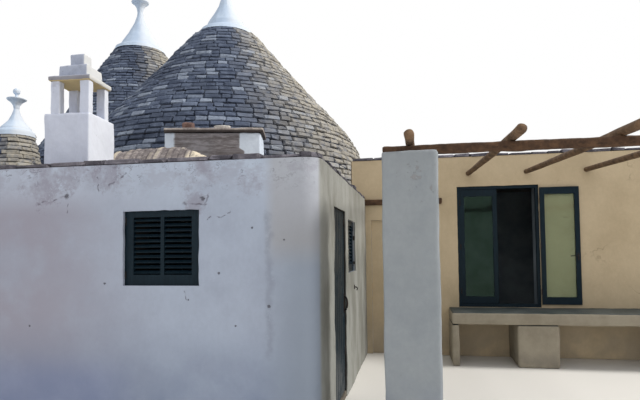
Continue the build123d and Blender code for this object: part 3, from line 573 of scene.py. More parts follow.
# %% Stone
def weathered_stone(name, pale, dark, lichen_colour, cover, spread=1.0, scale=6.0, faced=0.0,
                    sunlight_and_bleach=0.0):
    """Stone with grain, a tone of its own for each slab, and lichen. Faced is how strongly the
    lightest slabs are covered by the lichen colour. The last strength paints the slabs on the
    sunny side of a cone, told by their side value, paler: part sun bleaching and part painted
    sunlight."""
    material, tree, shader, bump = new_material(name, 0.95)
    grain = grained(tree, pale, dark, scale)
    place = object_place(tree)
    tone = add_node(tree, "ShaderNodeAttribute", attribute_name="tone").outputs["Fac"]
    tint = mix_colour(tree, 1.0, grain["Colour"],
                      ramp(tree, tone, 0.0, 1.0, 1.0 - 0.35 * spread, 1.0 + 0.35 * spread), "MULTIPLY")
    weather = ramp(tree, noise(tree, place, 0.8, 4.0), 0.35, 0.65, 0.86, 1.12)
    tint = mix_colour(tree, 1.0, tint, weather, "MULTIPLY")
    blots = use_group(tree, lichen_tree, {"Scale": 9.0, "Cover": cover})["Mask"]
    blots = times(tree, blots, ramp(tree, tone, 0.3, 0.8, 0.25, 0.9))
    face = times(tree, ramp(tree, tone, 0.52, 0.82), faced)
    face = times(tree, face, ramp(tree, noise(tree, place, 15.0, 5.0, 0.7), 0.32, 0.54, 0.3, 1.0))
    tint = mix_colour(tree, maths(tree, "MAXIMUM", blots, face), tint, lichen_colour)
    side = add_node(tree, "ShaderNodeAttribute", attribute_name="side").outputs["Fac"]
    # Painted sunlight, partly sun bleaching: slabs on the sun's side of the cone turn pale beige.
    sunny = times(tree, ramp(tree, side, 0.35, 1.05), sunlight_and_bleach)
    sunny = times(tree, sunny, ramp(tree, noise(tree, place, 7.0, 5.0, 0.7), 0.30, 0.60, 0.3, 1.0))
    tint = mix_colour(tree, sunny, tint, paint(182, 175, 160))
    return close_material(material, shader, bump, tint, grain["Height"], 0.014)


cone_stone = weathered_stone("cone_stone", paint(102, 113, 134), paint(76, 86, 107),
                             paint(146, 156, 172), 0.0, 0.5, faced=0.8, sunlight_and_bleach=0.85)
# The bed under the slabs is darker than the slabs: painted shade in the gaps between them.
cone_bed = weathered_stone("cone_bed", paint(76, 81, 94), paint(50, 55, 68), paint(60, 60, 60), -0.2)
coping_stone = weathered_stone("coping_stone", paint(122, 119, 127), paint(80, 78, 87),
                               paint(142, 138, 136), 0.0, 0.8)
roof_stone = weathered_stone("roof_stone", paint(186, 181, 172), paint(142, 138, 132),
                             paint(200, 196, 184), 0.0, 0.5)
vault_stone = weathered_stone("vault_stone", paint(162, 154, 152), paint(110, 103, 104),
                              paint(214, 203, 182), -0.06, 0.55, 9.0, faced=1.0)
floor_stone = weathered_stone("floor_stone", paint(168, 160, 146), paint(120, 112, 102),
                              paint(150, 146, 140), -0.15)
red_stone = weathered_stone("red_stone", paint(164, 132, 122), paint(104, 84, 80),
                            paint(180, 160, 150), -0.1)
pale_stone = weathered_stone("pale_stone", paint(222, 218, 212), paint(176, 168, 164),
                             paint(230, 226, 218), 0.0, 0.5)

# %% [markdown]
# ## Painted and bare wood
# Doors and shutters are softwood under many coats of dark green gloss. The paint has dulled,
# chalks a little and follows the grain below. Poles and beams are bare chestnut.

# %% Paint, timber, iron and glass
def painted_wood():
    """Dark green paint over upright grain, dull where it has chalked."""
    material, tree, shader, bump = new_material("green_paint", 0.5)
    place = object_place(tree)
    grain = noise(tree, place, 14.0, 6.0, 0.65, (6.0, 6.0, 0.5))
    chalk = ramp(tree, noise(tree, place, 4.0, 6.0, 0.7), 0.45, 0.75)
    tint = mix_colour(tree, ramp(tree, grain, 0.3, 0.7), paint(15, 29, 38), paint(23, 39, 49))
    tint = stain(tree, tint, chalk, 0.35, paint(38, 54, 64))
    shader.inputs["Specular IOR Level"].default_value = 0.10
    tree.links.new(ramp(tree, chalk, 0.0, 1.0, 0.38, 0.62), shader.inputs["Roughness"])
    return close_material(material, shader, bump, tint, grain, 0.002)


def bare_wood(name, light, dark):
    """Weathered timber with a cloudy grain, and dark checks drawn out from left to right."""
    material, tree, shader, bump = new_material(name, 0.8)
    place = object_place(tree)
    grain = noise(tree, place, 9.0, 7.0, 0.7)
    check = ramp(tree, noise(tree, place, 22.0, 4.0, 0.6, (0.3, 1.0, 1.0)), 0.60, 0.66)
    tint = mix_colour(tree, ramp(tree, grain, 0.3, 0.7), dark, light)
    tint = stain(tree, tint, check, 0.6, paint(48, 36, 28))
    return close_material(material, shader, bump, tint, grain)


def worn_iron():
    """Dark forged iron with a little rust."""
    material, tree, shader, bump = new_material("iron", 0.6)
    rust = ramp(tree, noise(tree, object_place(tree), 30.0, 6.0, 0.7), 0.5, 0.7)
    tint = stain(tree, paint(44, 43, 44), rust, 0.6, paint(96, 62, 44))
    shader.inputs["Metallic"].default_value = 0.7
    return close_material(material, shader, bump, tint, rust, 0.001)


def window_pane():
    """Old window glass, dark and shining, with a slow wave in its surface."""
    material, tree, shader, bump = new_material("glass", 0.06)
    wave = noise(tree, object_place(tree), 1.2, 1.0)
    tree.links.new(wave, bump.inputs["Height"])
    bump.inputs["Distance"].default_value = 0.0006
    shader.inputs["Base Color"].default_value = paint(222, 234, 226)
    shader.inputs["Transmission Weight"].default_value = 1.0
    shader.inputs["Specular Tint"].default_value = paint(150, 190, 165)
    shader.inputs["IOR"].default_value = 1.4
    shader.inputs["Specular IOR Level"].default_value = 0.5
    return material


green = painted_wood()
pole_wood = bare_wood("pole_wood", paint(132, 106, 82), paint(84, 66, 52))
beam_wood = bare_wood("beam_wood", paint(104, 78, 58), paint(62, 46, 36))
iron = worn_iron()
glass = window_pane()
print("finishes:", len(bpy.data.materials))


# %% [markdown]
# ## Dress the frame's own nodes
# Most walls, roofs and joinery keep the frame's shape and only need a finish. A node's finish
# goes into its material slots.

# %% Give the nodes their finishes
nodes_by_finish = [
    (indoor_shade_and_smoke, ["front_wall", "left_wall", "side_wall", "door_side_pier", "door_lintel"]),
    (wash_rooms, ["kitchen_arch", "main_front_wall", "outer_left_wall", "middle_wall",
                  "main_right_wall", "cross_wall", "main_back_wall", "rear_right_wall",
                  "rear_back_wall"]),
    (wash_top, ["chimney_stack", "tank_walls"]),
    (cream, ["wing_front_wall"]),
    (wing_walls, ["wing_right_wall", "wing_back_wall"]),
    (counter_coat, ["counter_slab", "counter_legs"]),
    (roof_stone, ["kitchen_roof", "wing_roof"]),
    (floor_stone, ["kitchen_floor", "room_floors", "wing_floor"]),
    (cone_bed, ["main_cone", "rear_cone", "small_cone"]),
    (vault_stone, ["roof_vault"]),
    (green, ["kitchen_door", "front_shutter", "side_shutter", "window_frame", "window_leaves"]),
    (glass, ["window_glass"]),
    (iron, ["door_pins"]),
]
finish_of = {name: finish for finish, names in nodes_by_finish for name in names}
for name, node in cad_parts.items():
    node.data.materials.clear()
    node.data.materials.append(finish_of.get(name, wash))
print("nodes dressed:", len(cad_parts))


# %% [markdown]
# ## Surfaces from arrays
# Each new piece is a grid of points worked out at once with numpy, joined by four-sided
# faces. One helper turns such a grid into faces, and one puts the arrays into a mesh that
# rides on a body of the frame.

# %% Helpers for pieces
def grid_faces(rows, columns, closed=False):
    """Faces between neighbouring points of a rows by columns grid; closed joins the last column
    to the first."""
    last = columns if closed else columns - 1
    row, column = np.meshgrid(np.arange(rows - 1), np.arange(last), indexing="ij")
    beside = (column + 1) % columns
    corners = [row * columns + column, row * columns + beside,
               (row + 1) * columns + beside, (row + 1) * columns + column]
    return np.stack(corners, axis=-1).reshape(-1, 4)


def outward(points, faces):
    """Faces turned round if the closed shape that they make has a negative volume."""
    a, b, c, d = (points[faces[:, index]] for index in range(4))
    volume = np.einsum("ij,ij->", a, np.cross(b, c)) + np.einsum("ij,ij->", a, np.cross(c, d))
    return faces if volume > 0 else faces[:, ::-1]


def add_piece(name, points, faces, material, body="root", values=None, smooth=True):
    """Mesh from arrays of points and four-sided faces, riding on a body of the frame. Values
    are named numbers stored with the points."""
    mesh = bpy.data.meshes.new(name)
    mesh.vertices.add(len(points))
    mesh.vertices.foreach_set("co", np.ascontiguousarray(points, dtype=np.float32).ravel())
    mesh.loops.add(faces.size)
    mesh.loops.foreach_set("vertex_index", np.ascontiguousarray(faces, dtype=np.int32).ravel())
    mesh.polygons.add(len(faces))
    mesh.polygons.foreach_set("loop_start", np.arange(0, faces.size, 4, dtype=np.int32))
    mesh.update(calc_edges=True)
    mesh.polygons.foreach_set("use_smooth", np.full(len(faces), smooth))
    for label, numbers in (values or {}).items():
        mesh.attributes.new(label, "FLOAT", "POINT").data.foreach_set("value", numbers)
    mesh.materials.append(material)
    piece = bpy.data.objects.new(name, mesh)
    bpy.context.collection.objects.link(piece)
    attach(piece, body)
    print(name, "faces:", len(faces))
    return piece


def ripple(first, second, seed, size=0.7, waves=14):
    """Gentle random relief from -1 to 1: the mean of sine waves in random directions, with
    wavelengths from half of size to twice size."""
    random = np.random.default_rng(seed)
    heading = random.uniform(0, 2 * np.pi, waves)
    pitch = 2 * np.pi / (size * random.uniform(0.5, 2.0, waves))
    phase = random.uniform(0, 2 * np.pi, waves)
    along = first[..., None] * np.cos(heading) + second[..., None] * np.sin(heading)
    return np.sin(along * pitch + phase).sum(-1) / np.sqrt(waves) / 1.6


# %% [markdown]
# ## Slabs of stone
# A trullo roof is laid from flat slabs in rings. Each slab has a rough front edge, a top that
# leans in, and no two are alike. All stones of one roof are one mesh: a small template of
# four sections with six corners each is copied to every place at once by array arithmetic,
# then every corner is moved a little at random.

# %% Template and copies of a slab
slab_corners = np.array([(0.0, 0.0), (0.88, 0.0), (1.0, 0.2), (1.0, 0.82), (0.9, 1.0), (0.0, 1.0)])
slab_sections = np.array([-1.0, -0.84, 0.84, 1.0])
slab_size = len(slab_sections) * len(slab_corners)
slab_ends = np.array([[3, 2, 1, 0], [5, 4, 3, 0], [18, 19, 20, 21], [18, 21, 22, 23]])
slab_faces = grid_faces(len(slab_sections), len(slab_corners), closed=True)
slab_faces = np.concatenate([slab_faces, slab_ends])
print("corners of a slab:", slab_size, "faces:", len(slab_faces))


def lay_slabs(start, along, out, length, back, front, lean, height, rough, seed):
    """Corners of many slabs, as an array of slabs by slab_size by 3. A corner is the slab's start,
    plus its share of the length along the wall, of the depth outwards (less the lean of the
    top), and of the height. Rough is the random shift of each front corner, in metres."""
    random = np.random.default_rng(seed)
    count = len(start)
    section = slab_sections[:, None]
    depth, rise = slab_corners[:, 0], slab_corners[:, 1]
    rounding = np.where(np.abs(section) > 0.9, 0.82, 1.0)
    outwards = back[:, None, None] + depth * rounding * (front - back)[:, None, None]
    outwards = outwards - lean[:, None, None] * rise * depth
    sideways = section * length[:, None, None] / 2 + 0 * outwards
    upwards = rise * height[:, None, None] + 0 * outwards
    shift = random.normal(0, rough, (3, count, len(slab_sections), len(slab_corners))) * (depth > 0.5)
    up = np.array([0.0, 0.0, 1.0])
    points = start[:, None, None, :] + (sideways + shift[0])[..., None] * along[:, None, None, :]
    points = points + (outwards + shift[1])[..., None] * out[:, None, None, :]
    points = points + (upwards + 0.6 * shift[2])[..., None] * up
    return points.reshape(count, slab_size, 3)


def add_slabs(name, points, material, seed, side=None):
    """One piece from many slabs, each with a random tone and perhaps with its side value."""
    count = len(points)
    faces = outward(points[0], slab_faces)
    faces = (faces[None] + slab_size * np.arange(count)[:, None, None]).reshape(-1, 4)
    values = {"tone": np.repeat(np.random.default_rng(seed).beta(2, 2.8, count), slab_size)}
    if side is not None:
        values["side"] = np.repeat(side, slab_size)
    return add_piece(name, points.reshape(-1, 3), faces, material, values=values,
                     smooth=False)


# %% [markdown]
# ## The three cones
# The frame's cones give the outline. They are built of a few tall rings, each standing out
# over the one below. The real rings are a hand high, so their slabs follow a line through
# the feet of the frame's rings. Slabs that would lie inside a neighbouring cone are left
# out, which makes the valleys.

# %% Measure a cone and lay its rings
def section_radius(node, centre, heights):
    """Largest distance from the axis to the node's surface, for level cuts at these heights."""
    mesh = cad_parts[node].data
    points = mesh_points(mesh)
    edges = np.empty(len(mesh.edges) * 2, dtype=np.int32)
    mesh.edges.foreach_get("vertices", edges)
    low, high = points[edges.reshape(-1, 2)[:, 0]], points[edges.reshape(-1, 2)[:, 1]]
    radii = []
    for height in heights:
        span = high[:, 2] - low[:, 2]
        crosses = (low[:, 2] - height) * (high[:, 2] - height) <= 0
        crosses &= np.abs(span) > 1e-9
        share = (height - low[crosses, 2]) / span[crosses]
        cut = low[crosses] + share[:, None] * (high[crosses] - low[crosses])
        radii.append(np.hypot(cut[:, 0] - centre[0], cut[:, 1] - centre[1]).max())
    return np.array(radii)


def ring_feet(node, centre):
    """Heights and radii of the feet of the frame's rings: the levels at which a whole ring of
    corners lies on the outside of the node."""
    points = mesh_points(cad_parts[node].data)
    level = np.round(points[:, 2], 3)
    radius = np.hypot(points[:, 0] - centre[0], points[:, 1] - centre[1])
    lowest, highest = level.min(), level.max()
    feet = []
    for height in np.unique(level):
        at_height = radius[level == height]
        probe = np.clip(height, lowest + 0.004, highest - 0.004)
        outside = section_radius(node, centre, [probe])[0]
        if (at_height > at_height.max() - 0.003).sum() >= 12 and at_height.max() > outside - 0.03:
            feet.append((height, at_height.max()))
    return np.array(feet).T


ring_height = 0.105
ring_lip = 0.014
slab_lean = 0.62
cones = {}
for name in ("main", "rear", "small"):
    feet_levels, feet_radii = ring_feet(name + "_cone", middle(name + "_cap"))
    count = int(round((feet_levels[-1] - feet_levels[0]) / ring_height))
    levels = np.linspace(feet_levels[0], feet_levels[-1], count + 1)
    cones[name] = (middle(name + "_cap"), levels, np.interp(levels, feet_levels, feet_radii))
    print(name, "cone rings:", count, "foot radius:", round(cones[name][2][0], 2))


def lay_cone(name, seed, stone_length=0.27):
    """All slabs of one cone, ring by ring, without those inside a neighbouring cone."""
    random = np.random.default_rng(seed)
    centre, levels, radii = cones[name]
    rings = []
    for index in range(len(levels) - 1):
        pitch = levels[index + 1] - levels[index]
        radius, above = radii[index], radii[index + 1]
        count = max(9, int(round(2 * np.pi * radius / stone_length)))
        shares = random.uniform(0.6, 1.5, count)
        ends = np.cumsum(shares) / shares.sum() * 2 * np.pi + random.uniform(0, 6.28)
        span = shares / shares.sum() * 2 * np.pi
        angle = ends - span / 2
        out = np.stack([np.cos(angle), np.sin(angle), 0 * angle], axis=-1)
        along = np.stack([-np.sin(angle), np.cos(angle), 0 * angle], axis=-1)
        start = np.zeros((count, 3))
        start[:, :2] = centre
        start[:, 2] = levels[index] + random.uniform(0.0, 0.010, count)
        step = max(radius - above, 0.0)
        front = radius + ring_lip + random.normal(0, 0.009, count)
        back = np.full(count, above - 0.16)
        lean = np.full(count, slab_lean * step) + random.uniform(0, 0.02, count)
        height = pitch * random.uniform(0.82, 0.97, count)
        length = span * (radius + ring_lip) * random.uniform(0.94, 0.99, count)
        keep = np.full(count, True)
        for other, (middle_of_other, other_levels, other_radii) in cones.items():
            if other != name:
                place_of_stone = start[:, :2] + out[:, :2] * radius
                away = np.hypot(*(place_of_stone - middle_of_other).T)
                reach = np.interp(levels[index], other_levels, other_radii, right=0.0)
                keep &= away > reach - 0.08
        parts = (start, along, out, length, back, front, lean, height)
        rings.append(lay_slabs(*[part[keep] for part in parts], 0.007, seed + index))
    return np.concatenate(rings)


# The small cone's slabs get extra side value, which paints more sunlight on them.
for seed, name, extra in ((11, "main", 0.0), (12, "rear", 0.0), (13, "small", 0.60)):
    slabs = lay_cone(name, seed * 100)
    from_axis = slabs.mean(axis=1)[:, :2] - cones[name][0]
    side = from_axis[:, 0] / np.hypot(*from_axis.T) + extra
    add_slabs(name + "_cone_slabs", slabs, cone_stone, seed, side)


# %% [markdown]
# ## Caps and pinnacles
# The tops of the cones are plastered by hand and lime-washed. Each is a turned shape: a
# flaring cap that laps over the top ring of slabs, a thin neck and a round plate on a
# trumpet. The outline is read from the frame, softened, and spun with a slight wobble, because
# no mason had a lathe up there.

# %% Spin the caps
cap_sides, cap_levels = 56, 170
skirt_levels = np.array([-0.120, -0.085, -0.040, 0.014])
skirt_spread = np.array([0.070, 0.066, 0.045, 0.020])
skirt_over_ring, skirt_over_stone = 0.048, 0.034
flare_height = 0.080


def turned_cap(name, seed):
    """Surface of revolution. Radius is the softened outline of the frame's cap, times one plus
    a small ripple round the axis. Below the cap it follows the front of the top ring of
    slabs, a little further out, and flares from there into the cap."""
    node = name + "_cap"
    low, high = box(node)
    centre = middle(node)
    heights = np.linspace(low[2] + 0.001, high[2] - 0.001, cap_levels)
    radii = section_radius(node, centre, heights)
    window = np.hanning(7)
    radii = np.convolve(np.pad(radii, 3, mode="edge"), window / window.sum(), mode="valid")
    levels, rings = cones[name][1:]
    lap = low[2] + skirt_levels
    over_slabs = np.interp(lap, levels, rings) + skirt_over_ring
    over_slabs = np.maximum(over_slabs, radii[0] + skirt_spread)
    crest = rings[-2] + ring_lip - slab_lean * (rings[-2] - rings[-1])
    stone_front = np.interp(lap, levels[-2:], [rings[-2] + ring_lip, crest])
    over_slabs = np.maximum(over_slabs, stone_front + skirt_over_stone)
    above = heights > lap[-1] + 0.006
    heights, radii = heights[above], radii[above]
    flare = np.clip(1 - (heights - lap[-1]) / flare_height, 0, 1) ** 2
    radii = radii + flare * np.maximum(over_slabs[-1] - radii[0], 0)
    radii = np.concatenate([over_slabs, radii, [0.004]])
    heights = np.concatenate([lap, heights, [high[2]]])
    angle = np.linspace(0, 2 * np.pi, cap_sides, endpoint=False)
    level, turn_angle = np.meshgrid(heights, angle, indexing="ij")
    uneven = 0.018 * ripple(level, np.cos(turn_angle), seed, 0.5)
    uneven = uneven + 0.018 * ripple(level, np.sin(turn_angle), seed + 1, 0.6)
    radius = radii[:, None] * (1 + uneven)
    points = np.stack([centre[0] + radius * np.cos(turn_angle),
                       centre[1] + radius * np.sin(turn_angle), level], axis=-1)
    faces = grid_faces(len(heights), cap_sides, closed=True)
    piece = add_piece(name + "_cap_plaster", points.reshape(-1, 3), faces, cap_wash)
    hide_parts(node)


for seed, name in ((21, "main"), (22, "rear"), (23, "small")):
    turned_cap(name, seed)


# %% [markdown]
# ## Plaster on the walls
# Plaster over rubble is never flat. A skin a finger thick goes over the frame's walls: a path
# round the building in plan is carried upwards, and every point is pushed in or out by a
# gentle relief. Windows and doorways are left out of the grid, and a short strip round each
# turns the plaster into the opening. Openings get a ragged edge.

# %% Carry a wall skin along a path
def wall_path(corners, radii):
    """Points of a path whose inner corners are rounded by these radii, with the distance along
    it. A point of an arc is its centre, less away times cosine, plus into times sine."""
    corners = np.array(corners, float)
    points = [corners[0]]
    for before, corner, after, radius in zip(corners[:-2], corners[1:-1], corners[2:], radii):
        into = (corner - before) / np.linalg.norm(corner - before)
        away = (after - corner) / np.linalg.norm(after - corner)
        angle = np.linspace(0, np.pi / 2, 9)[:, None]
        middle_of_arc = corner + (away - into) * radius
        points.extend(middle_of_arc - away * radius * np.cos(angle) + into * radius * np.sin(angle))
    points.append(corners[-1])
    points = np.array(points)
    distance = np.concatenate([[0], np.cumsum(np.linalg.norm(np.diff(points, axis=0), axis=1))])
    return points, distance


def grid_lines(start, end, step, marks):
    """Evenly spaced values with the marks among them, and none closer than a third of a step."""
    even = np.linspace(start, end, int(round((end - start) / step)) + 1)
    marks = np.array(marks)
    if len(marks):
        near = np.abs(even[:, None] - marks[None]).min(axis=1) < step / 3
        even = even[~near | (even == start) | (even == end)]
    return np.unique(np.concatenate([even, marks]))


# %% Cut the openings out of a skin
def ragged_edges(run, level, holes, ragged, seed):
    """Shifts along the path and in height that draw the edges of the holes in unevenly."""
    shift_run, shift_level = np.zeros(run.shape), np.zeros(run.shape)
    for index, hole in enumerate(holes):
        left, right, bottom, top = hole[:4]
        on_side = (level >= bottom - 1e-6) & (level <= top + 1e-6)
        for edge, inwards in ((left, 1), (right, -1)):
            line = on_side & (np.abs(run - edge) < 1e-6)
            shift_run[line] += inwards * ragged * (0.6 + ripple(level, run, seed + 5 + index, 0.18))[line]
        on_top = (run >= left - 1e-6) & (run <= right + 1e-6) & (np.abs(level - top) < 1e-6)
        shift_level[on_top] -= ragged * (0.8 + ripple(run, level, seed + 9 + index, 0.15))[on_top]
    return shift_run, shift_level


def faces_in_holes(across, upright, holes):
    """Which faces of the grid lie in a hole, told by the middle of each."""
    run = ((across[:-1] + across[1:]) / 2)[:, None]
    level = ((upright[:-1] + upright[1:]) / 2)[None]
    inside = np.zeros((len(across) - 1, len(upright) - 1), bool)
    for hole in holes:
        left, right, bottom, top = hole[:4]
        inside |= (run > left) & (run < right) & (level > bottom) & (level < top)
    return inside.ravel()


def hole_strip(points, normal, across, upright, hole, low):
    """Three rows of points, from the edge of a hole into the wall by its depth. A hole that
    stands on the ground has no row along its bottom."""
    left, right, bottom, top, depth = hole
    first, last = np.searchsorted(across, [left - 1e-6, right - 1e-6])
    lowest, highest = np.searchsorted(upright, [bottom - 1e-6, top - 1e-6])
    side = np.arange(lowest, highest + 1)
    top_line = np.arange(first, last + 1)
    loop = [(first, row) for row in side] + [(column, highest) for column in top_line[1:]]
    loop += [(last, row) for row in side[::-1][1:]]
    if bottom > low:
        loop += [(column, lowest) for column in top_line[::-1][1:]]
    loop = np.array(loop)
    rows = []
    for share in (0.0, 0.25, 1.0):
        row_points = points[loop[:, 0], loop[:, 1]]
        row_points[:, :2] -= normal[loop[:, 0]] * share * depth
        rows.append(row_points)
    return np.concatenate(rows)


# %% Make the skin of a wall
def skin_wall(name, corners, radii, low, high, holes, material, seed, step=0.026,
              proud=0.012, wave=0.006, ragged=0.006):
    """Plaster carried along a path. A point is the path point, pushed outwards by proud plus a
    ripple, at its height. Holes are (from, to, bottom, top, depth) along the path."""
    path, distance = wall_path(corners, radii)
    marks = [edge for hole in holes for edge in hole[:2]] + distance[1:-1].tolist()
    across = grid_lines(0, distance[-1], step, marks)
    upright = grid_lines(low, high, step, [edge for hole in holes for edge in hole[2:4] if edge > low])
    place, ahead, behind = (
        np.stack([np.interp(across + shift, distance, path[:, axis]) for axis in (0, 1)], axis=-1)
        for shift in (0.0, 0.01, -0.01))
    tangent = (ahead - behind) / np.linalg.norm(ahead - behind, axis=1)[:, None]
    normal = np.stack([tangent[:, 1], -tangent[:, 0]], axis=-1)
    run, level = np.meshgrid(across, upright, indexing="ij")
    relief = proud + wave * ripple(run, level, seed, 0.9) + 0.35 * wave * ripple(run, level, seed + 1, 0.16)
    shift_run, shift_level = ragged_edges(run, level, holes, ragged, seed)
    points = np.zeros(run.shape + (3,))
    points[..., :2] = (place[:, None] + normal[:, None] * relief[..., None]
                       + tangent[:, None] * shift_run[..., None])
    points[..., 2] = level + shift_level
    all_points = [points.reshape(-1, 3)]
    all_faces = [grid_faces(len(across), len(upright))[~faces_in_holes(across, upright, holes)]]
    count = run.size
    for hole in holes:
        strip = hole_strip(points, normal, across, upright, hole, low)
        all_points.append(strip)
        all_faces.append(grid_faces(3, len(strip) // 3) + count)
        count += len(strip)
    return add_piece(name, np.concatenate(all_points), np.concatenate(all_faces), material)


# %% Kitchen skin with its window, doorway and side window
left_edge = kitchen_low[0]
window_low, window_high = box("front_shutter")
side_low, side_high = box("side_shutter")
lintel_low, lintel_high = box("door_lintel")
corner_round, sharp_round = 0.15, 0.025
shutter_recess, door_recess = 0.033, 0.010
# A rounded corner makes the path shorter than a square one, by its radius times this.
arc_saves = 2 - np.pi / 2
front_start = kitchen_back - corner_y - sharp_round * arc_saves
side_start = front_start + (corner_x - left_edge) - corner_round * arc_saves
kitchen_holes = [
    (front_start + window_low[0] - left_edge, front_start + window_high[0] - left_edge,
     window_low[2], window_high[2], shutter_recess),
    (side_start + lintel_low[1] - corner_y, side_start + lintel_high[1] - corner_y, 0.0,
     lintel_low[2], door_recess),
    (side_start + side_low[1] - corner_y, side_start + side_high[1] - corner_y, side_low[2],
     side_high[2], shutter_recess),
]
skin_wall("kitchen_plaster",
          [(left_edge, kitchen_back), (left_edge, corner_y), (corner_x, corner_y),
           (corner_x, kitchen_back)],
          [sharp_round, corner_round], 0.002, roof_top, kitchen_holes, kitchen_wash, 31,
          ragged=0.004)

# %% Wing skin: cream on the terrace side, white on the others
wing_right, wing_back = wing_high[0], box("wing_back_wall")[1][1]
wing_top = box("wing_roof")[1][2]
tall_low, tall_high = box("window_frame")
recess_from, recess_to, recess_top, recess_depth = 0.10, 0.95, 2.10, 0.06
wing_left = wing_low[0]
wing_holes = [
    (corner_x - wing_left + recess_from, corner_x - wing_left + recess_to, 0.0, recess_top,
     recess_depth + 0.003),
    (tall_low[0] - wing_left, tall_high[0] - wing_left, tall_low[2], tall_high[2], 0.022),
]
skin_wall("wing_plaster",
          [(wing_left, wing_low[1]), (wing_right, wing_low[1]), (wing_right, wing_back),
           (wing_left, wing_back)],
          [0.012, 0.012], 0.002, wing_top, wing_holes, wing_coat, 32, step=0.04,
          proud=0.005, wave=0.003, ragged=0.002)

# %% Skin of the rooms under the cones
# The wing's roof stands higher than the rooms, so a strip of plaster closes its side above them.
rooms_left, rooms_back = box("outer_left_wall")[0][0], box("rear_back_wall")[1][1]
rooms_front, rooms_right = box("main_front_wall")[0][1], box("main_back_wall")[1][0]
step_x, step_y = box("rear_right_wall")[1][0], box("main_back_wall")[1][1]
rooms_top = box("main_front_wall")[1][2]
rooms_path = [(rooms_right, wing_back), (rooms_right, step_y), (step_x, step_y), (step_x, rooms_back),
              (rooms_left, rooms_back), (rooms_left, rooms_front), (left_edge, rooms_front)]
skin_wall("rooms_plaster", rooms_path, [sharp_round] * 5, 0.002, rooms_top, [], wash_rooms,
          33, step=0.06, proud=0.012, wave=0.010)
skin_wall("wing_side_plaster", [(wing_left, wing_back), (wing_left, wing_low[1])], [], rooms_top, wing_top,
          [], wash_rooms, 34, step=0.05, proud=0.008, wave=0.004)

# %% [markdown]
# ## Plaster over blocks
# Piers, the chimney, the tank and the counter are lumps of masonry rounded by many coats.
# A copy of the frame's block is cut into small cubes (a voxel remesh), smoothed until its
# edges are soft, and pushed out and in by a relief that runs through space. It works for
# any block, also one with a flue or an alcove.


# %% Helper that plasters a block
def relief_in_space(points, seed, size, waves=16):
    """Random relief from -1 to 1 in space: the mean of sine waves in random directions."""
    random = np.random.default_rng(seed)
    heading = random.normal(size=(waves, 3))
    heading /= np.linalg.norm(heading, axis=1)[:, None]
    pitch = 2 * np.pi / (size * random.uniform(0.5, 2.0, waves))
    phase = random.uniform(0, 2 * np.pi, waves)
    return np.sin(points @ (heading * pitch[:, None]).T + phase).sum(1) / np.sqrt(waves) / 1.6


def mesh_arrays(mesh):
    """Points, normals and four-sided faces of a mesh as arrays."""
    normals = np.empty(len(mesh.vertices) * 3, dtype=np.float32)
    mesh.vertices.foreach_get("normal", normals)
    corners = np.empty(len(mesh.loops), dtype=np.int32)
    mesh.loops.foreach_get("vertex_index", corners)
    return mesh_points(mesh), normals.reshape(-1, 3), corners.reshape(-1, 4)


def plaster_over(node, material, seed, voxel=0.016, rounding=6, wave=0.004, size=0.5,
                 rough=0.0015, sink=0.0):
    """Soft, uneven copy of a node. Each point moves along its normal by wave times a broad
    relief plus rough times a fine one. The foot goes down by sink into what carries it."""
    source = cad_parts[node]
    mesh = source.data.copy()
    work = bmesh.new()
    work.from_mesh(mesh)
    bmesh.ops.remove_doubles(work, verts=work.verts, dist=0.0001)
    work.to_mesh(mesh)
    work.free()
    helper = bpy.data.objects.new(node + "_helper", mesh)
    bpy.context.collection.objects.link(helper)
    cubes = helper.modifiers.new("cubes", "REMESH")
    cubes.mode = "VOXEL"
    cubes.voxel_size = voxel
    soften = helper.modifiers.new("soften", "SMOOTH")
    soften.factor = 0.5
    soften.iterations = rounding
    ready = bpy.data.meshes.new_from_object(helper.evaluated_get(bpy.context.evaluated_depsgraph_get()))
    points, normals, faces = mesh_arrays(ready)
    bpy.data.objects.remove(helper)
    shift = wave * relief_in_space(points, seed, size) + rough * relief_in_space(points, seed + 1, 0.09)
    points = points + normals * shift[:, None]
    bottom = box(node)[0][2]
    near_foot = points[:, 2] < bottom + 2.5 * voxel
    points[near_foot, 2] -= sink
    points[:, 2] = np.maximum(points[:, 2], 0.0)
    piece = add_piece(node + "_coat", points, faces, material)
    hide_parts(node)


# %% [markdown]
# ## Finishes of the tank and the chimney's cover
# The tank on the kitchen roof is whitewashed only at its corners. Its long face shows old
# render, streaked brown where water has run over the rim for years. The mask follows the
# tank's own length, which is turned a little from the kitchen wall.

# %% Tank finish
def front_edge(node):
    """Direction of a turned block's long front edge: from its front corner to its right one."""
    points = mesh_points(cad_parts[node].data)
    run = points[np.argmax(points[:, 0])] - points[np.argmin(points[:, 1])]
    run[2] = 0.0
    return run / np.linalg.norm(run)


tank_axis = front_edge("tank_walls")
tank_turn = float(np.arctan2(tank_axis[1], tank_axis[0]))
tank_middle = middle("tank_walls")
tank_high = box("tank_walls")[1]
tank_points = mesh_points(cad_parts["tank_walls"].data)[:, :2] - tank_middle
tank_half_length = float(np.abs(tank_points @ tank_axis[:2]).max())
tank_half_depth = float(np.abs(tank_points @ np.array([-tank_axis[1], tank_axis[0]])).max())
print("tank turned by", round(np.degrees(tank_turn), 1), "half sizes", round(tank_half_length, 3),
      round(tank_half_depth, 3))


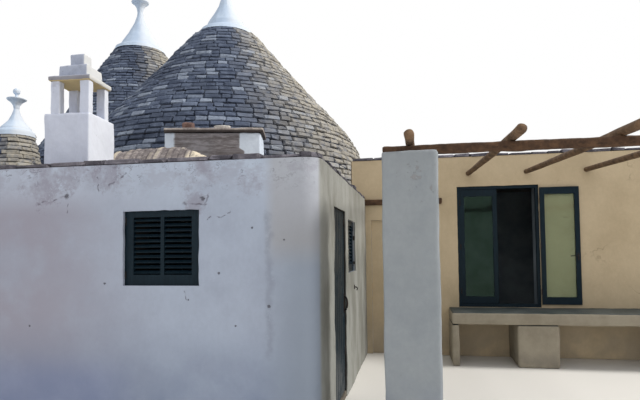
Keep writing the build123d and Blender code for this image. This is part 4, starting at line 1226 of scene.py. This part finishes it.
def tank_render():
    """Whitewash at both ends and streaked brown render between them."""
    material, tree, shader, bump = new_material("tank_render")
    place = object_place(tree)
    centred = vector_maths(tree, "SUBTRACT", place, (*tank_middle.tolist(), 0.0))
    local = add_node(tree, "ShaderNodeMapping",
                     {"Vector": centred, "Rotation": (0.0, 0.0, -tank_turn)}).outputs[0]
    parts = axes(tree, local)
    ragged = maths(tree, "SUBTRACT", times(tree, noise(tree, place, 6.0, 6.0, 0.7), 0.09), 0.045)
    along = maths(tree, "ADD", parts["X"], ragged)
    lower = ramp(tree, parts["Z"], tank_high[2] - 0.24, tank_high[2] - 0.30, 0.0, 0.08)
    right = maths(tree, "SUBTRACT", along, lower)
    panel = times(tree, ramp(tree, along, -0.61, -0.57), ramp(tree, right, 0.43, 0.40))
    panel = times(tree, panel, ramp(tree, parts["Y"], 0.04 - tank_half_depth, -tank_half_depth))
    streaks = noise(tree, place, 7.0, 6.0, 0.7, (0.5, 0.5, 3.2))
    brown = mix_colour(tree, ramp(tree, streaks, 0.36, 0.62), paint(104, 98, 98), paint(146, 142, 146))
    pale = ramp(tree, noise(tree, place, 10.0, 5.0, 0.7, (0.6, 0.6, 2.6)), 0.54, 0.68)
    brown = stain(tree, brown, pale, 0.5, paint(176, 172, 174))
    brown = stain(tree, brown, lower, 5.0, paint(92, 86, 86))
    coats = limed(tree, paint(218, 229, 243), paint(198, 208, 224), 4.0, 0.8)
    tint = mix_colour(tree, panel, coats["Colour"], brown)
    rough = maths(tree, "ADD", coats["Height"], times(tree, streaks, panel))
    return close_material(material, shader, bump, tint, rough)


def lid_finish():
    """Pale worn top and edge over a dark underside: painted shade below the lid."""
    material, tree, shader, bump = new_material("lid_stone", 0.9)
    upright = axes(tree, object_place(tree))["Z"]
    grain = grained(tree, paint(190, 182, 176), paint(140, 132, 130), 5.0)
    # Painted shade: faces looking down, and a band at the lid's lower edge, are dark.
    low = maths(tree, "MAXIMUM", ramp(tree, facing(tree)["Z"], -0.1, -0.5),
                ramp(tree, upright, float(lid_low[2]) + 0.040, float(lid_low[2]) + 0.026))
    tint = stain(tree, grain["Colour"], low, 0.9, paint(58, 52, 52))
    return close_material(material, shader, bump, tint, grain["Height"])


lid_low, lid_high = box("tank_lid")
tank_coat = tank_render()
lid_coat = lid_finish()


def cover_finish():
    """Grey weathered blocks over a stained slab, with soot-yellowed plaster below it, and painted sunlight
    on the faces to the right.
    """
    material, tree, shader, bump = new_material("chimney_cover_coat")
    place = object_place(tree)
    looks = facing(tree)
    upright = axes(tree, place)["Z"]
    coats = limed(tree, paint(172, 179, 197), paint(140, 146, 164), 9.0, 0.95)
    slab_top = float(box("chimney_cover")[0][2]) + 0.05
    stained = times(tree, ramp(tree, upright, slab_top, slab_top - 0.02), 0.6)
    tint = mix_colour(tree, stained, coats["Colour"], paint(124, 116, 112))
    tint = stain(tree, tint, ramp(tree, looks["Z"], -0.4, -0.8), 0.85, paint(206, 184, 132))
    spots = ramp(tree, noise(tree, place, 26.0, 6.0, 0.7), 0.58, 0.66)
    tint = stain(tree, tint, spots, 0.45, paint(112, 112, 122))
    # Painted sunlight: faces turned to the right are whitened.
    tint = stain(tree, tint, ramp(tree, looks["X"], 0.3, 0.7), 0.75, paint(220, 220, 216))
    return close_material(material, shader, bump, tint, coats["Height"])


cover_coat = cover_finish()

# %% Plaster the chimney, the tank, the piers and the counter
plaster_over("chimney_stack", wash_top, 41, voxel=0.012, rounding=8, wave=0.006,
             size=0.4, sink=0.02)
plaster_over("chimney_posts", wash_top, 42, voxel=0.008, rounding=6, wave=0.004,
             size=0.2, sink=0.015)
plaster_over("chimney_cover", cover_coat, 43, voxel=0.010, rounding=4, wave=0.005,
             size=0.3, sink=0.006)
plaster_over("tank_walls", tank_coat, 44, voxel=0.022, rounding=3, wave=0.006,
             size=0.4, sink=0.02)
plaster_over("terrace_piers", pier_wash_in_shade, 45, voxel=0.022, rounding=5, wave=0.005,
             size=0.6)
for seed, node in ((46, "counter_slab"), (47, "counter_legs")):
    plaster_over(node, counter_coat, seed, voxel=0.021, rounding=3, wave=0.004,
                 size=0.5)


# %% [markdown]
# ## Edges of stone
# Flat slabs run along the edges of the flat roofs. They were set by eye: each has its own
# length and thickness, and stands out a little more or less than its neighbour.

# %% Lay the coping stones
def lay_edge(start, end, inward, depth, height, seed, length=0.30):
    """Slabs side by side from start to end; inward is the direction towards the roof."""
    random = np.random.default_rng(seed)
    start, end, inward = np.array(start, float), np.array(end, float), np.array(inward, float)
    total = np.linalg.norm(end - start)
    count = max(2, int(round(total / length)))
    shares = random.uniform(0.6, 1.5, count)
    ends = np.cumsum(shares) / shares.sum() * total
    lengths = shares / shares.sum() * total
    along = np.tile((end - start) / total, (count, 1))
    out = np.tile(-inward, (count, 1))
    place = start + along * (ends - lengths / 2)[:, None]
    front = random.uniform(0.0, 0.024, count)
    back = np.full(count, -depth)
    lean = random.uniform(0.0, 0.018, count)
    tall = height * random.uniform(0.70, 1.20, count)
    return lay_slabs(place, along, out, lengths * 0.98, back, front, lean, tall, 0.007, seed)


coping_low, coping_high = box("kitchen_coping")
stone_height = coping_high[2] - coping_low[2]
stone_depth, bed, edge_inset, corner_gap = 0.36, 0.002, 0.02, 0.12
edge_left, edge_z = coping_low[0] + edge_inset, roof_top - bed
kitchen_edges = [
    lay_edge((edge_left, corner_y, edge_z), (corner_x - corner_gap, corner_y, edge_z), (0, 1, 0),
             stone_depth, stone_height, 51),
    lay_edge((corner_x, corner_y + corner_gap, edge_z), (corner_x, kitchen_back, edge_z), (-1, 0, 0),
             stone_depth, stone_height, 52),
    lay_edge((edge_left, kitchen_back, edge_z), (edge_left, corner_y + stone_depth, edge_z), (1, 0, 0),
             stone_depth, stone_height, 53),
]
corner_turn = np.radians(np.array([-72.0, -45.0, -18.0]))
corner_out = np.stack([np.cos(corner_turn), np.sin(corner_turn), 0 * corner_turn], axis=-1)
corner_along = np.stack([-np.sin(corner_turn), np.cos(corner_turn), 0 * corner_turn], axis=-1)
corner_start = np.array([corner_x - corner_round, corner_y + corner_round, edge_z])
corner_start = corner_start + 0 * corner_out
each = np.ones(len(corner_turn))
corner_height = np.array([1.05, 0.95, 1.1]) * stone_height
kitchen_edges.append(lay_slabs(corner_start, corner_along, corner_out, 0.10 * each, 0.0 * each,
                               (corner_round + 0.012) * each, 0.01 * each, corner_height, 0.004, 54))
kitchen_stones = add_slabs("kitchen_coping_stones", np.concatenate(kitchen_edges), coping_stone, 55)
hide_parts("kitchen_coping")

wing_coping_low, wing_coping_high = box("wing_coping")
edge_z = wing_coping_low[2] - bed
left, right = wing_low[0], wing_coping_high[0] - edge_inset
front, back = wing_coping_low[1] + edge_inset, wing_coping_high[1] - edge_inset
wing_edges = [
    lay_edge((left, front, edge_z), (right, front, edge_z), (0, 1, 0), stone_depth, stone_height, 56),
    lay_edge((right, front + stone_depth, edge_z), (right, back - stone_depth, edge_z), (-1, 0, 0),
             stone_depth, stone_height, 57),
    lay_edge((right, back, edge_z), (left, back, edge_z), (0, -1, 0), stone_depth, stone_height, 58),
]
wing_stones = add_slabs("wing_coping_stones", np.concatenate(wing_edges), coping_stone, 59)
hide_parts("wing_coping")

# %% Edge stones on the rooms under the cones
room_edges = []
turning = [(-1, 0), (0, -1), (-1, 0), (0, -1), (1, 0), (0, 1)]
for index, inward in enumerate(turning):
    first, last = (*rooms_path[index], rooms_top - bed), (*rooms_path[index + 1], rooms_top - bed)
    room_edges.append(lay_edge(first, last, (*inward, 0), 0.34, stone_height, 110 + index, 0.38))
add_slabs("rooms_edge_stones", np.concatenate(room_edges), coping_stone, 117)


# %% [markdown]
# ## Paved roofs
# The flat roofs are paved with thin limestone slabs bedded in lime. A level grid gets grooves
# for the joints, and every slab lies a little higher or lower than the next.

# %% Pave the flat roofs
pattern = 97


def paving(name, low, high, level, seed, course=0.42, length=0.55, step=0.035):
    """Grid between two corners. Height is the level, plus a step of each slab, minus grooves. The
    steps come again after as many rows or slabs as the pattern has."""
    random = np.random.default_rng(seed)
    along = np.linspace(low[0], high[0], int((high[0] - low[0]) / step))
    across = np.linspace(low[1], high[1], int((high[1] - low[1]) / step))
    run, deep = np.meshgrid(along, across, indexing="ij")
    row = np.floor(deep / course).astype(int)
    offset = random.uniform(0, 1, pattern)[row % pattern]
    place_in_row = run / length + offset
    column = np.floor(place_in_row).astype(int)
    edge_row = np.abs(deep / course - row - 0.5) * 2
    edge_column = np.abs(place_in_row - column - 0.5) * 2
    groove = np.clip((edge_row - 0.90) / 0.10, 0, 1)
    groove = np.maximum(groove, np.clip((edge_column - 0.92) / 0.08, 0, 1))
    slab = (row % pattern, column % pattern)
    tilt = random.uniform(-0.005, 0.005, (pattern, pattern))[slab]
    height = level + 0.016 + tilt - 0.010 * groove + 0.003 * ripple(run, deep, seed + 1, 0.4)
    points = np.stack([run, deep, height], axis=-1).reshape(-1, 3)
    tone = random.beta(2, 2, (pattern, pattern))[slab] * (1 - 0.6 * groove)
    return add_piece(name, points, grid_faces(len(along), len(across))[:, ::-1], roof_stone,
                     values={"tone": tone.ravel()})


inset = 0.33
paving("kitchen_paving", (left_edge + inset, corner_y + inset), (corner_x - inset, kitchen_back),
       roof_top, 121)
paving("wing_paving", (rooms_right, wing_low[1] + inset), (wing_right - inset, wing_back - inset),
       wing_top, 131)


# %% [markdown]
# ## Vault above the kitchen roof
# A low vault covers the hearth side of the kitchen. It is roofed with narrow slabs laid edge
# to edge, so its back shows many fine joints. The height is that of two crossing barrels, and
# each strip of slabs lies a little higher or lower than the next.

# %% Cover the vault
def barrel_height(place, span, rise):
    """Height of a circle segment over its chord: root of (R2 - x2) minus (R - rise)."""
    radius = (span ** 2 / 4 + rise ** 2) / (2 * rise)
    return np.sqrt(np.maximum(radius ** 2 - place ** 2, 0)) - (radius - rise)


vault_low, vault_high = box("roof_vault")
span_x, span_y, vault_rise = vault_high - vault_low
x_line = np.linspace(-span_x / 2, span_x / 2, 251)
y_line = np.linspace(-span_y / 2, span_y / 2, 121)
strip_width, slab_length = 0.078, 0.36
strip_lift, slab_lift = 0.008, 0.005
joint_depth, end_joint_depth = 0.013, 0.007
# Strips and slabs before the middle have negative numbers, which count from the table's end.
table_size = 64
x_grid, y_grid = np.meshgrid(x_line, y_line, indexing="ij")
rise = np.minimum(barrel_height(x_grid, span_x, vault_rise), barrel_height(y_grid, span_y, vault_rise))
random = np.random.default_rng(61)
slanted = x_grid + 0.30 * y_grid + 0.008 * ripple(x_grid, y_grid, 62, 0.5)
strip = np.floor(slanted / strip_width).astype(int)
strip_step = random.uniform(-strip_lift, strip_lift, table_size)
across_strip = np.abs(slanted / strip_width - strip - 0.5) * 2
course = y_grid / slab_length + random.uniform(0, 1, table_size)[strip]
in_course = np.abs(course - np.floor(course) - 0.5) * 2
groove = np.clip((across_strip - 0.62) / 0.38, 0, 1) * joint_depth
groove = np.maximum(groove, np.clip((in_course - 0.93) / 0.07, 0, 1) * end_joint_depth)
slab_step = random.uniform(-slab_lift, slab_lift, (table_size, table_size))
slab_step = slab_step[strip, np.floor(course).astype(int)]
cover = 0.012 + strip_step[strip] + slab_step - groove + 0.006 * ripple(x_grid, y_grid, 63, 0.35)
rise = np.maximum(rise + cover, -0.004)
vault_middle = (vault_low + vault_high) / 2
vault_points = np.stack([x_grid + vault_middle[0], y_grid + vault_middle[1],
                         rise + vault_low[2]], axis=-1).reshape(-1, 3)
vault_tone_and_sunlight = (0.46 + 0.2 * strip_step[strip] / strip_lift + slab_step / slab_lift * 0.10).ravel()
vault_tone_and_sunlight = vault_tone_and_sunlight - 0.42 * (groove / joint_depth).ravel()
# Painted sunlight: the right end of the vault is paled towards the cream lichen colour by raising the tone
# there.
vault_tone_and_sunlight = vault_tone_and_sunlight + np.clip((x_grid / span_x - 0.24) / 0.08, 0, 1).ravel() * 0.60
add_piece("roof_vault_slabs", vault_points, grid_faces(len(x_line), len(y_line)), vault_stone,
          values={"tone": np.clip(vault_tone_and_sunlight, 0, 1)})


# %% [markdown]
# ## Lid of the tank and the stones on it
# Big slabs of stone lie over the tank. Two loose stones hold them down: a reddish one and a
# flat pale one.

# %% Lay the lid
def squared_ball(rows, columns, power):
    """Points of a ball squared off towards a box: each is divided by the root, of this power, of
    the sum of its parts raised to that power."""
    angle = np.linspace(0, 2 * np.pi, columns, endpoint=False)
    rise_angle = np.linspace(-np.pi / 2 + 0.01, np.pi / 2 - 0.01, rows)
    level, turn_angle = np.meshgrid(rise_angle, angle, indexing="ij")
    ball = np.stack([np.cos(level) * np.cos(turn_angle), np.cos(level) * np.sin(turn_angle),
                     np.sin(level)], axis=-1).reshape(-1, 3)
    return ball / (np.abs(ball) ** power).sum(1)[:, None] ** (1 / power)


def rough_stone(points, seed, amount, size):
    """Chipped look: points move by a relief in space along each axis."""
    shift = np.stack([relief_in_space(points, seed + axis, size) for axis in range(3)], axis=-1)
    return points + amount * shift


plaster_over("tank_lid", lid_coat, 71, voxel=0.012, rounding=2, wave=0.005,
             size=0.22, rough=0.003)
tank_side = np.array([-tank_axis[1], tank_axis[0], 0.0])


def loose_stone(name, along, inwards, size, material, seed):
    """Lump on the lid: a ball squared off towards a box, then roughened."""
    rows, columns = 14, 24
    ball = rough_stone(squared_ball(rows, columns, 4), seed, 0.09, 1.2) * np.array(size) / 2
    middle_point = np.array([*tank_middle, lid_high[2] + size[2] / 2 - 0.004])
    middle_point = middle_point + tank_axis * along + tank_side * inwards
    points = middle_point + ball[:, :1] * tank_axis + ball[:, 1:2] * tank_side
    points = points + ball[:, 2:] * np.array([0.0, 0.0, 1.0])
    return add_piece(name, points, grid_faces(rows, columns, closed=True), material)


loose_stone("red_weight", -0.39, -0.20, (0.19, 0.15, 0.11), red_stone, 72)
loose_stone("flat_weight", 0.14, -0.20, (0.25, 0.18, 0.06), pale_stone, 73)

# %% [markdown]
# ## Poles and beams
# The poles of the pergola are rough stems, thicker at one end and never straight. They take
# the places of the frame's poles, which run from the front beam up to the wing wall.

# %% Poles
pole_low, pole_high = box("pergola_poles")
pole_count = 6
pole_sides = 20
pole_radius = 0.04
pole_x = np.linspace(pole_low[0] + pole_radius, pole_high[0] - pole_radius, pole_count)
step_angle = np.linspace(0, 2 * np.pi, pole_sides, endpoint=False)
pole_line = np.linspace(0, 1, 70)
all_points, all_faces = [], []
for index, x in enumerate(pole_x):
    random = np.random.default_rng(80 + index)
    run, turn_angle = np.meshgrid(pole_line, step_angle, indexing="ij")
    thick = pole_radius * (1.0 - 0.12 * run) + 0.003 * ripple(run * 4, turn_angle, 81 + index, 0.8)
    bend = 0.010 * np.sin(np.pi * run) * random.normal(0, 1)
    y = pole_low[1] + run * (pole_high[1] - pole_low[1])
    z = pole_low[2] + pole_radius + run * (pole_high[2] - pole_low[2] - 2 * pole_radius)
    points = np.stack([x + bend + thick * np.cos(turn_angle), y, z + thick * np.sin(turn_angle)], axis=-1)
    ends = np.stack([points[0].mean(0) + 0 * points[0], points[-1].mean(0) + 0 * points[-1]])
    points = np.concatenate([ends[:1], points, ends[1:]]).reshape(-1, 3)
    faces = grid_faces(len(pole_line) + 2, pole_sides, closed=True)
    all_points.append(points)
    all_faces.append(outward(points, faces) + index * len(points))
poles = add_piece("pergola_stems", np.concatenate(all_points), np.concatenate(all_faces), pole_wood)
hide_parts("pergola_poles")
plaster_over("terrace_beams", beam_wood, 91, voxel=0.012, rounding=3, wave=0.004,
             size=0.3)

# %% [markdown]
# ## Joinery and ironwork
# The kitchen door is made of upright boards that stand a little proud of the leaf, with a
# pull handle and bolt plates at its free edge. Small iron parts are turned or bent from rod:
# a line of points is given a round section, thicker or thinner along its length.

# %% Boards on the door
door_low, door_high = box("kitchen_door")
door_gap = 0.007
board_low = np.array([door_high[0], lintel_low[1] + door_gap, door_low[2]])
board_high = np.array([door_high[0], lintel_high[1] - door_gap, door_high[2]])
board_run = np.linspace(board_low[1], board_high[1], 127)
board_rise = np.linspace(board_low[2], board_high[2], 60)
run, level = np.meshgrid(board_run, board_rise, indexing="ij")
board_count = 6
share = (run - board_low[1]) / (board_high[1] - board_low[1]) * board_count
from_joint = np.minimum(share - np.floor(share), np.ceil(share) - share)
swell = 0.0055 * np.clip(from_joint / 0.07, 0, 1) ** 0.5 + 0.0006 * ripple(run * 3, level * 0.3, 141, 0.3)
swell[[0, -1], :] = -0.002
swell[:, [0, -1]] = -0.002
points = np.stack([board_low[0] + swell, run, level], axis=-1).reshape(-1, 3)
board_faces = grid_faces(len(board_run), len(board_rise))
add_piece("door_boards", points, board_faces, green, "kitchen_door")


# %% Rods and plates
def rod(name, line, radius, body="root", sides=16):
    """Round iron bar along a line of points; radius is one number or one for each point. Every ring
    of the section stands square to the line, and both ends close to a point."""
    line = np.array(line, float)
    radius = np.broadcast_to(np.array(radius, float), len(line))
    heading = np.gradient(line, axis=0)
    heading = heading / np.linalg.norm(heading, axis=1)[:, None]
    helper = np.where(np.abs(heading[:, 2:]) < 0.9, [[0.0, 0.0, 1.0]], [[1.0, 0.0, 0.0]])
    first = np.cross(heading, helper)
    first = first / np.linalg.norm(first, axis=1)[:, None]
    second = np.cross(heading, first)
    angle = np.linspace(0, 2 * np.pi, sides, endpoint=False)
    ring = np.cos(angle)[None, :, None] * first[:, None] + np.sin(angle)[None, :, None] * second[:, None]
    points = line[:, None] + ring * radius[:, None, None]
    ends = [np.repeat(line[:1], sides, 0)[None], np.repeat(line[-1:], sides, 0)[None]]
    points = np.concatenate([ends[0], points, ends[1]]).reshape(-1, 3)
    faces = grid_faces(len(line) + 2, sides, closed=True)
    return add_piece(name, points, outward(points, faces), iron, body)


def plate(name, centre, size, normal_axis, body="root"):
    """Small forged plate with soft edges: a ball squared off to a box of this size."""
    rows, columns = 13, 24
    ball = np.roll(squared_ball(rows, columns, 8), normal_axis, axis=1)
    points = np.array(centre) + ball * np.array(size) / 2
    faces = grid_faces(rows, columns, closed=True)
    return add_piece(name, points, outward(points, faces), iron, body)


# %% Handle and bolt plates of the door
free_edge = lintel_high[1] - door_gap
iron_x = door_high[0] + 0.004
handle_y, handle_z = free_edge - 0.055, 1.04
plate("door_handle_plate", (iron_x, handle_y, handle_z), (0.012, 0.045, 0.22), 0, "kitchen_door")
bow = np.linspace(0, np.pi, 25)
handle_line = np.stack([iron_x + 0.040 * np.sin(bow) ** 0.6, 0 * bow + handle_y,
                        handle_z - 0.075 * np.cos(bow)], axis=-1)
rod("door_handle", handle_line, 0.008 + 0.003 * np.sin(bow), "kitchen_door")
for index, level in enumerate((1.94, 0.51, 0.27)):
    plate("door_bolt_plate_" + str(index + 1), (iron_x, free_edge - 0.026, level),
          (0.022, 0.036, 0.085), 0, "kitchen_door")

# %% Hinges of the shutters
def hinge_pin(name, x, y, z, half_length, radius):
    """Upright round bar with its middle at this place."""
    line = [(x, y, z + part) for part in np.linspace(-half_length, half_length, 9)]
    rod(name, line, radius)


hinge_inset, hinge_proud = 0.012, 0.002
hinge_places = [
    ("front_left", window_low[0] + hinge_inset, window_low[1] - hinge_proud, window_low, window_high),
    ("front_right", window_high[0] - hinge_inset, window_low[1] - hinge_proud, window_low, window_high),
    ("side_front", side_high[0] + hinge_proud, side_low[1] + hinge_inset, side_low, side_high),
    ("side_back", side_high[0] + hinge_proud, side_high[1] - hinge_inset, side_low, side_high),
]
for label, x, y, low, high in hinge_places:
    for index, share in enumerate((0.14, 0.86)):
        z = low[2] + share * (high[2] - low[2])
        hinge_pin("shutter_hinge_" + label + "_" + str(index + 1), x, y, z, 0.032, 0.0065)

# %% Lever and hinges of the tall window
leaves_low, leaves_high = box("window_leaves")
lever_x = leaves_high[0] - 0.033
lever_y = leaves_low[1]
plate("window_lever_plate", (lever_x, lever_y - 0.003, 1.50), (0.026, 0.010, 0.11), 1)
turn_line = np.linspace(0, 1, 14)
lever_line = np.stack([lever_x - 0.115 * np.clip(turn_line * 1.3 - 0.3, 0, 1),
                       lever_y - 0.004 - 0.038 * np.clip(turn_line / 0.3, 0, 1) ** 0.7,
                       1.515 - 0.006 * turn_line], axis=-1)
rod("window_lever", lever_line, 0.007)
window_hinges = [("left", tall_low[0] + 0.046, leaves_low[1] + 0.066),
                 ("right", tall_high[0] + 0.001, leaves_low[1] - 0.002)]
for index, z in enumerate((0.98, 1.66, 2.34)):
    for label, x, y in window_hinges:
        hinge_pin("window_hinge_" + label + "_" + str(index + 1), x, y, z, 0.045, 0.008)

# %% Hook on the side wall
hook_y, hook_z = corner_y + 2.40, 1.16
bend = np.linspace(0, 0.8 * np.pi, 18)
hook_line = np.stack([corner_x + 0.030 + 0.020 * np.sin(bend), 0 * bend + hook_y,
                      hook_z - 0.022 + 0.022 * np.cos(bend)], axis=-1)
hook_line = np.concatenate([[(corner_x + 0.004, hook_y, hook_z)], hook_line])
rod("wall_hook", hook_line, 0.007)
plate("wall_hook_plate", (corner_x + 0.014, hook_y, hook_z), (0.010, 0.04, 0.055), 0)
print("ironwork done")

# %% [markdown]
# ## Ground and light
# The floor is a plain pale disc that fades to white far away. Soft light comes from the whole
# sky. A strong lamp stands for the sun, on the right and 40 degrees up, and a weak one fills
# the front.

# %% Floor
floor_radius = 60.0
angle = np.linspace(0, 2 * np.pi, 64, endpoint=False)
rings = np.array([0.001, 8, 20, 40, floor_radius])
floor_points = np.stack([rings[:, None] * np.cos(angle), rings[:, None] * np.sin(angle),
                         0 * rings[:, None] * angle - 0.002], axis=-1).reshape(-1, 3)
floor_faces = grid_faces(len(rings), len(angle), closed=True)
floor_material = bpy.data.materials.new("pale_floor")
floor_material.use_nodes = True
tree = floor_material.node_tree
tree.nodes["Principled BSDF"].inputs["Base Color"].default_value = paint(226, 224, 220)
tree.nodes["Principled BSDF"].inputs["Roughness"].default_value = 0.9
far = vector_maths(tree, "LENGTH", object_place(tree))
fade = ramp(tree, far, 16.0, 45.0)
white = add_node(tree, "ShaderNodeEmission", {"Color": (1, 1, 1, 1), "Strength": 1.0}).outputs[0]
blend = add_node(tree, "ShaderNodeMixShader", {0: fade, 2: white})
tree.links.new(tree.nodes["Principled BSDF"].outputs[0], blend.inputs[1])
tree.links.new(blend.outputs[0], tree.nodes["Material Output"].inputs["Surface"])
mesh = bpy.data.meshes.new("pale_floor")
mesh.from_pydata(floor_points.tolist(), [], floor_faces.tolist())
mesh.materials.append(floor_material)
floor = bpy.data.objects.new("pale_floor", mesh)
bpy.context.collection.objects.link(floor)
print("floor radius", floor_radius)

# %% Sky and lamps
world = bpy.data.worlds.new("sky")
bpy.context.scene.world = world
world.use_nodes = True
tree = world.node_tree
rays = tree.nodes.new("ShaderNodeLightPath").outputs
seen = maths(tree, "MAXIMUM", rays["Is Camera Ray"], rays["Is Glossy Ray"])
seen = maths(tree, "MAXIMUM", seen, rays["Is Transmission Ray"])
strength = ramp(tree, seen, 0.0, 1.0, 0.54, 1.0)
tree.links.new(strength, tree.nodes["Background"].inputs["Strength"])
tree.nodes["Background"].inputs["Color"].default_value = (1, 1, 1, 1)


def add_sun(name, energy, towards, size, colour=(1, 1, 1)):
    """Lamp at a great distance; towards is the direction in which its light travels."""
    lamp = bpy.data.lights.new(name, "SUN")
    lamp.energy, lamp.angle, lamp.color = energy, np.radians(size), colour
    stand = bpy.data.objects.new(name, lamp)
    stand.rotation_euler = Vector(towards).to_track_quat("-Z", "Y").to_euler()
    bpy.context.collection.objects.link(stand)


add_sun("sun_right", 2.9, (-0.76, -0.06, -0.65), 14, (1.0, 0.97, 0.92))
add_sun("fill_front", 0.45, (0.25, 0.90, -0.36), 50)
print("lamps:", [light.name for light in bpy.data.lights])
